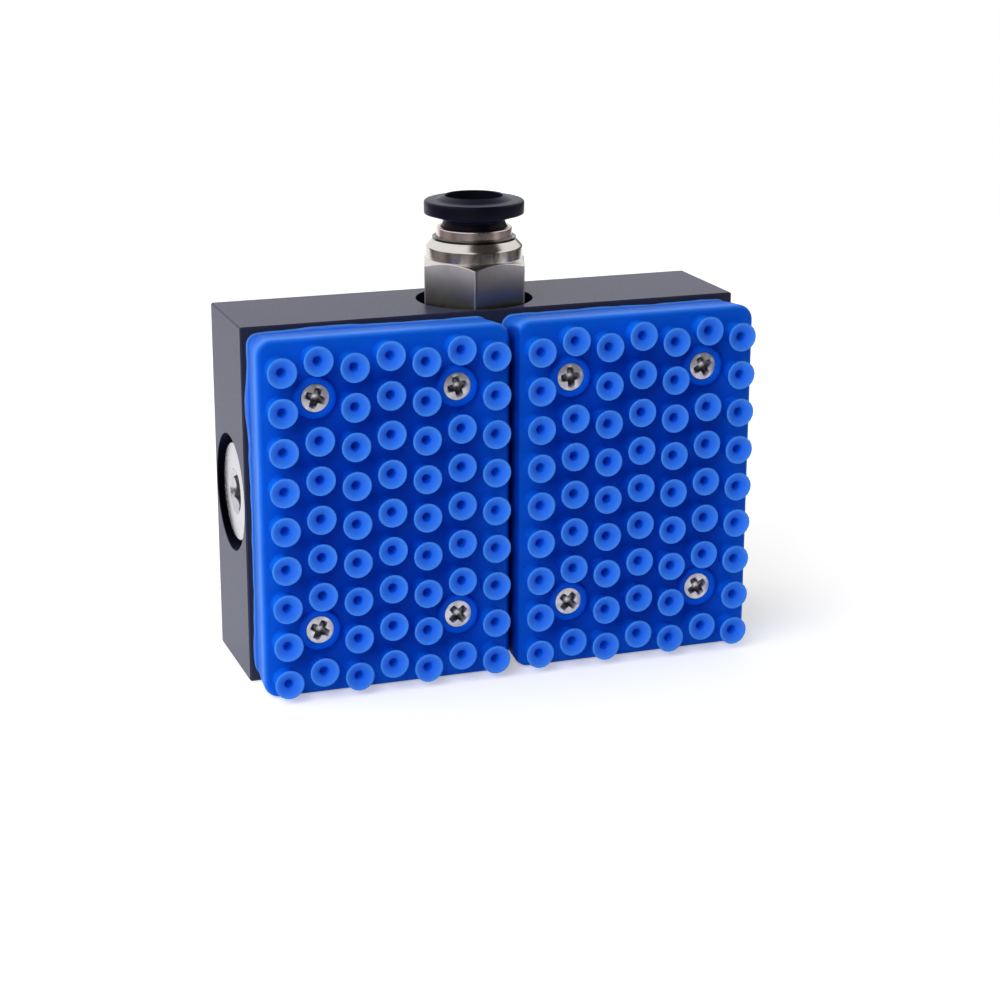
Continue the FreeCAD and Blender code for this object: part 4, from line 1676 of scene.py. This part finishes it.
def blue_silicone() -> PadSilicone:
    """The pads' silicone.

    Returns:
        The finish, with its layers and rims at the pads' own places.
    """
    low, high = box_mm("right_nozzle_pad")
    # The floor colour is partly painted shade among the nozzles.
    floor: Colour = (0.0, 0.068, 0.585)
    return PadSilicone(
        "blue_silicone", floor, 0.5, specular=0.06, mottle=0.05, grain=0.003,
        scatter=0.35, scatter_depth=0.8, start=float(high[1]), end=float(low[1]),
        stops=pad_layers(floor, (0.0, 0.1, 0.74)),
        # The rim's stops hold paler colours as painted light near each pad's outline.
        rim_light_stops=pad_layers((0.002, 0.122, 0.72), (0.002, 0.145, 0.83)),
        pad_middle=tuple((low + high) / 2.0), pad_half=tuple((high - low) / 2.0),
    )


def cross_steel() -> LayeredFinish:
    """The screws' plate, with painted shade in the depth of the cross and a painted glint at its bottom.

    Returns:
        The finish, whose layers start at the heads' tops.
    """
    plate: Colour = (0.55, 0.54, 0.56)
    # The depth colour is painted shade in the cross; the glint is a painted highlight at its bottom.
    depth: Colour = (0.1, 0.095, 0.105)
    glint: Colour = (0.75, 0.72, 0.74)
    head = float(box_mm("left_pad_screws")[0][1])
    # Stops: plate at the top, painted shade down the cross's walls, a painted glint at its bottom.
    stops = ((0.0, plate), (0.12, plate), (0.35, depth), (0.64, depth), (0.74, glint), (1.0, glint))
    return LayeredFinish(
        "cross_steel", plate, 0.36, metallic=1.0, mottle=0.25, mottle_scale=900.0, grain=0.01,
        start=head, end=head + 1.0, stops=stops,
    )


def black_anodised() -> BoredFinish:
    """The block's finish, with painted shade that makes it black in its ports."""
    low, high = box_mm("manifold_block")
    return BoredFinish(
        "black_anodised", (0.025, 0.026, 0.045), 0.34, specular=0.17, grain=0.0015,
        roughness_spread=0.1, bloom=0.1, middle=tuple((low + high) / 2.0),
        # The bores' colour here is painted shade.
        half=tuple((high - low) / 2.0), bore_shade_colour=(0.002, 0.002, 0.003), bore_roughness=0.6,
    )


def bright_nickel(fitting: TubeFitting) -> MilledHex:
    """The fitting's plate, dull on the hex's flats, with a painted reflection on the flats' foot and
    painted shade on the rim's edge.

    Args:
        fitting: The fitting that wears it.

    Returns:
        The finish, with its borders at the fitting's own edges.
    """
    seat = float(fitting.seat()[2])
    top, slope, overlap = seat + fitting.hex_height, fitting.cone_slope(), 0.02
    return MilledHex(
        "bright_nickel", (0.7, 0.67, 0.64), 0.19, metallic=1.0, grain=0.0015,
        grain_stretch=(1.0, 1.0, 0.25), roughness_spread=0.2,
        cone_level=top + fitting.shoulder_radius * slope, cone_slope=slope,
        flats_low=top - 6.8, flats_top=top, flats_roughness=0.42,
        # The dark foot colour is a painted reflection of the dark block.
        flats_colour=(0.41, 0.395, 0.425), dark_reflection_colour=(0.18, 0.18, 0.15),
        worn_radius=fitting.worn_radius() + overlap,
        # Painted shade covers the rim's edge from this level up.
        rim_shade_level=seat + fitting.rim_top() - fitting.rim_edge + overlap,
    )


PLUG_NICKEL = Finish("plug_nickel", (0.57, 0.565, 0.605), 0.24, metallic=1.0, grain=0.002)
RING_METAL = Finish(
    "ring_metal", (0.83, 0.72, 0.695), 0.26, metallic=1.0, mottle=0.12, mottle_scale=500.0,
    grain=0.0003, roughness_spread=0.01,
)
SPRING_STEEL = Finish("spring_steel", (0.5, 0.5, 0.5), 0.3, metallic=1.0)
BLACK_RUBBER = Finish("black_rubber", (0.02, 0.02, 0.02), 0.7)
BLACK_PLASTIC = Finish(
    "black_plastic", (0.004, 0.004, 0.009), 0.34, specular=0.1, grain=0.001, bloom=0.08,
)


def main() -> None:
    """Build the studio and every piece of the suction cup."""
    logging.basicConfig(level=logging.INFO, format="%(name)s: %(message)s")
    Studio().build()
    dress_node("manifold_block", black_anodised().material())
    rubber = BLACK_RUBBER.material()
    for node in ("fitting_seal", "plug_seal", "tube_seal"):
        dress_node(node, rubber)
    dress_node("grip_claw", SPRING_STEEL.material())
    silicone = blue_silicone().material()
    screw_steel = cross_steel().material()
    left_bulges = ((-17.7, 14.5, 3.2, 0.5), (-17.7, -21.0, 3.0, 0.15), (-4.0, 25.0, 5.0, 0.3))
    right_bulges = ((17.7, 8.0, 4.0, 0.3), (2.0, -25.0, 5.0, 0.3))
    pads = (
        (NozzlePad("left", left_bulges), (68.0, 62.0, 15.0, 42.0)),
        (NozzlePad("right", right_bulges), (5.0, 50.0, 25.0, 30.0)),
    )
    for pad, turns in pads:
        pad.build(silicone)
        ScrewSet(pad, turns).build(screw_steel)
    fitting = TubeFitting()
    fitting.build(bright_nickel(fitting).material(), RING_METAL.material(), BLACK_PLASTIC.material())
    PortPlug().build(PLUG_NICKEL.material())


if __name__ == "__main__":
    main()
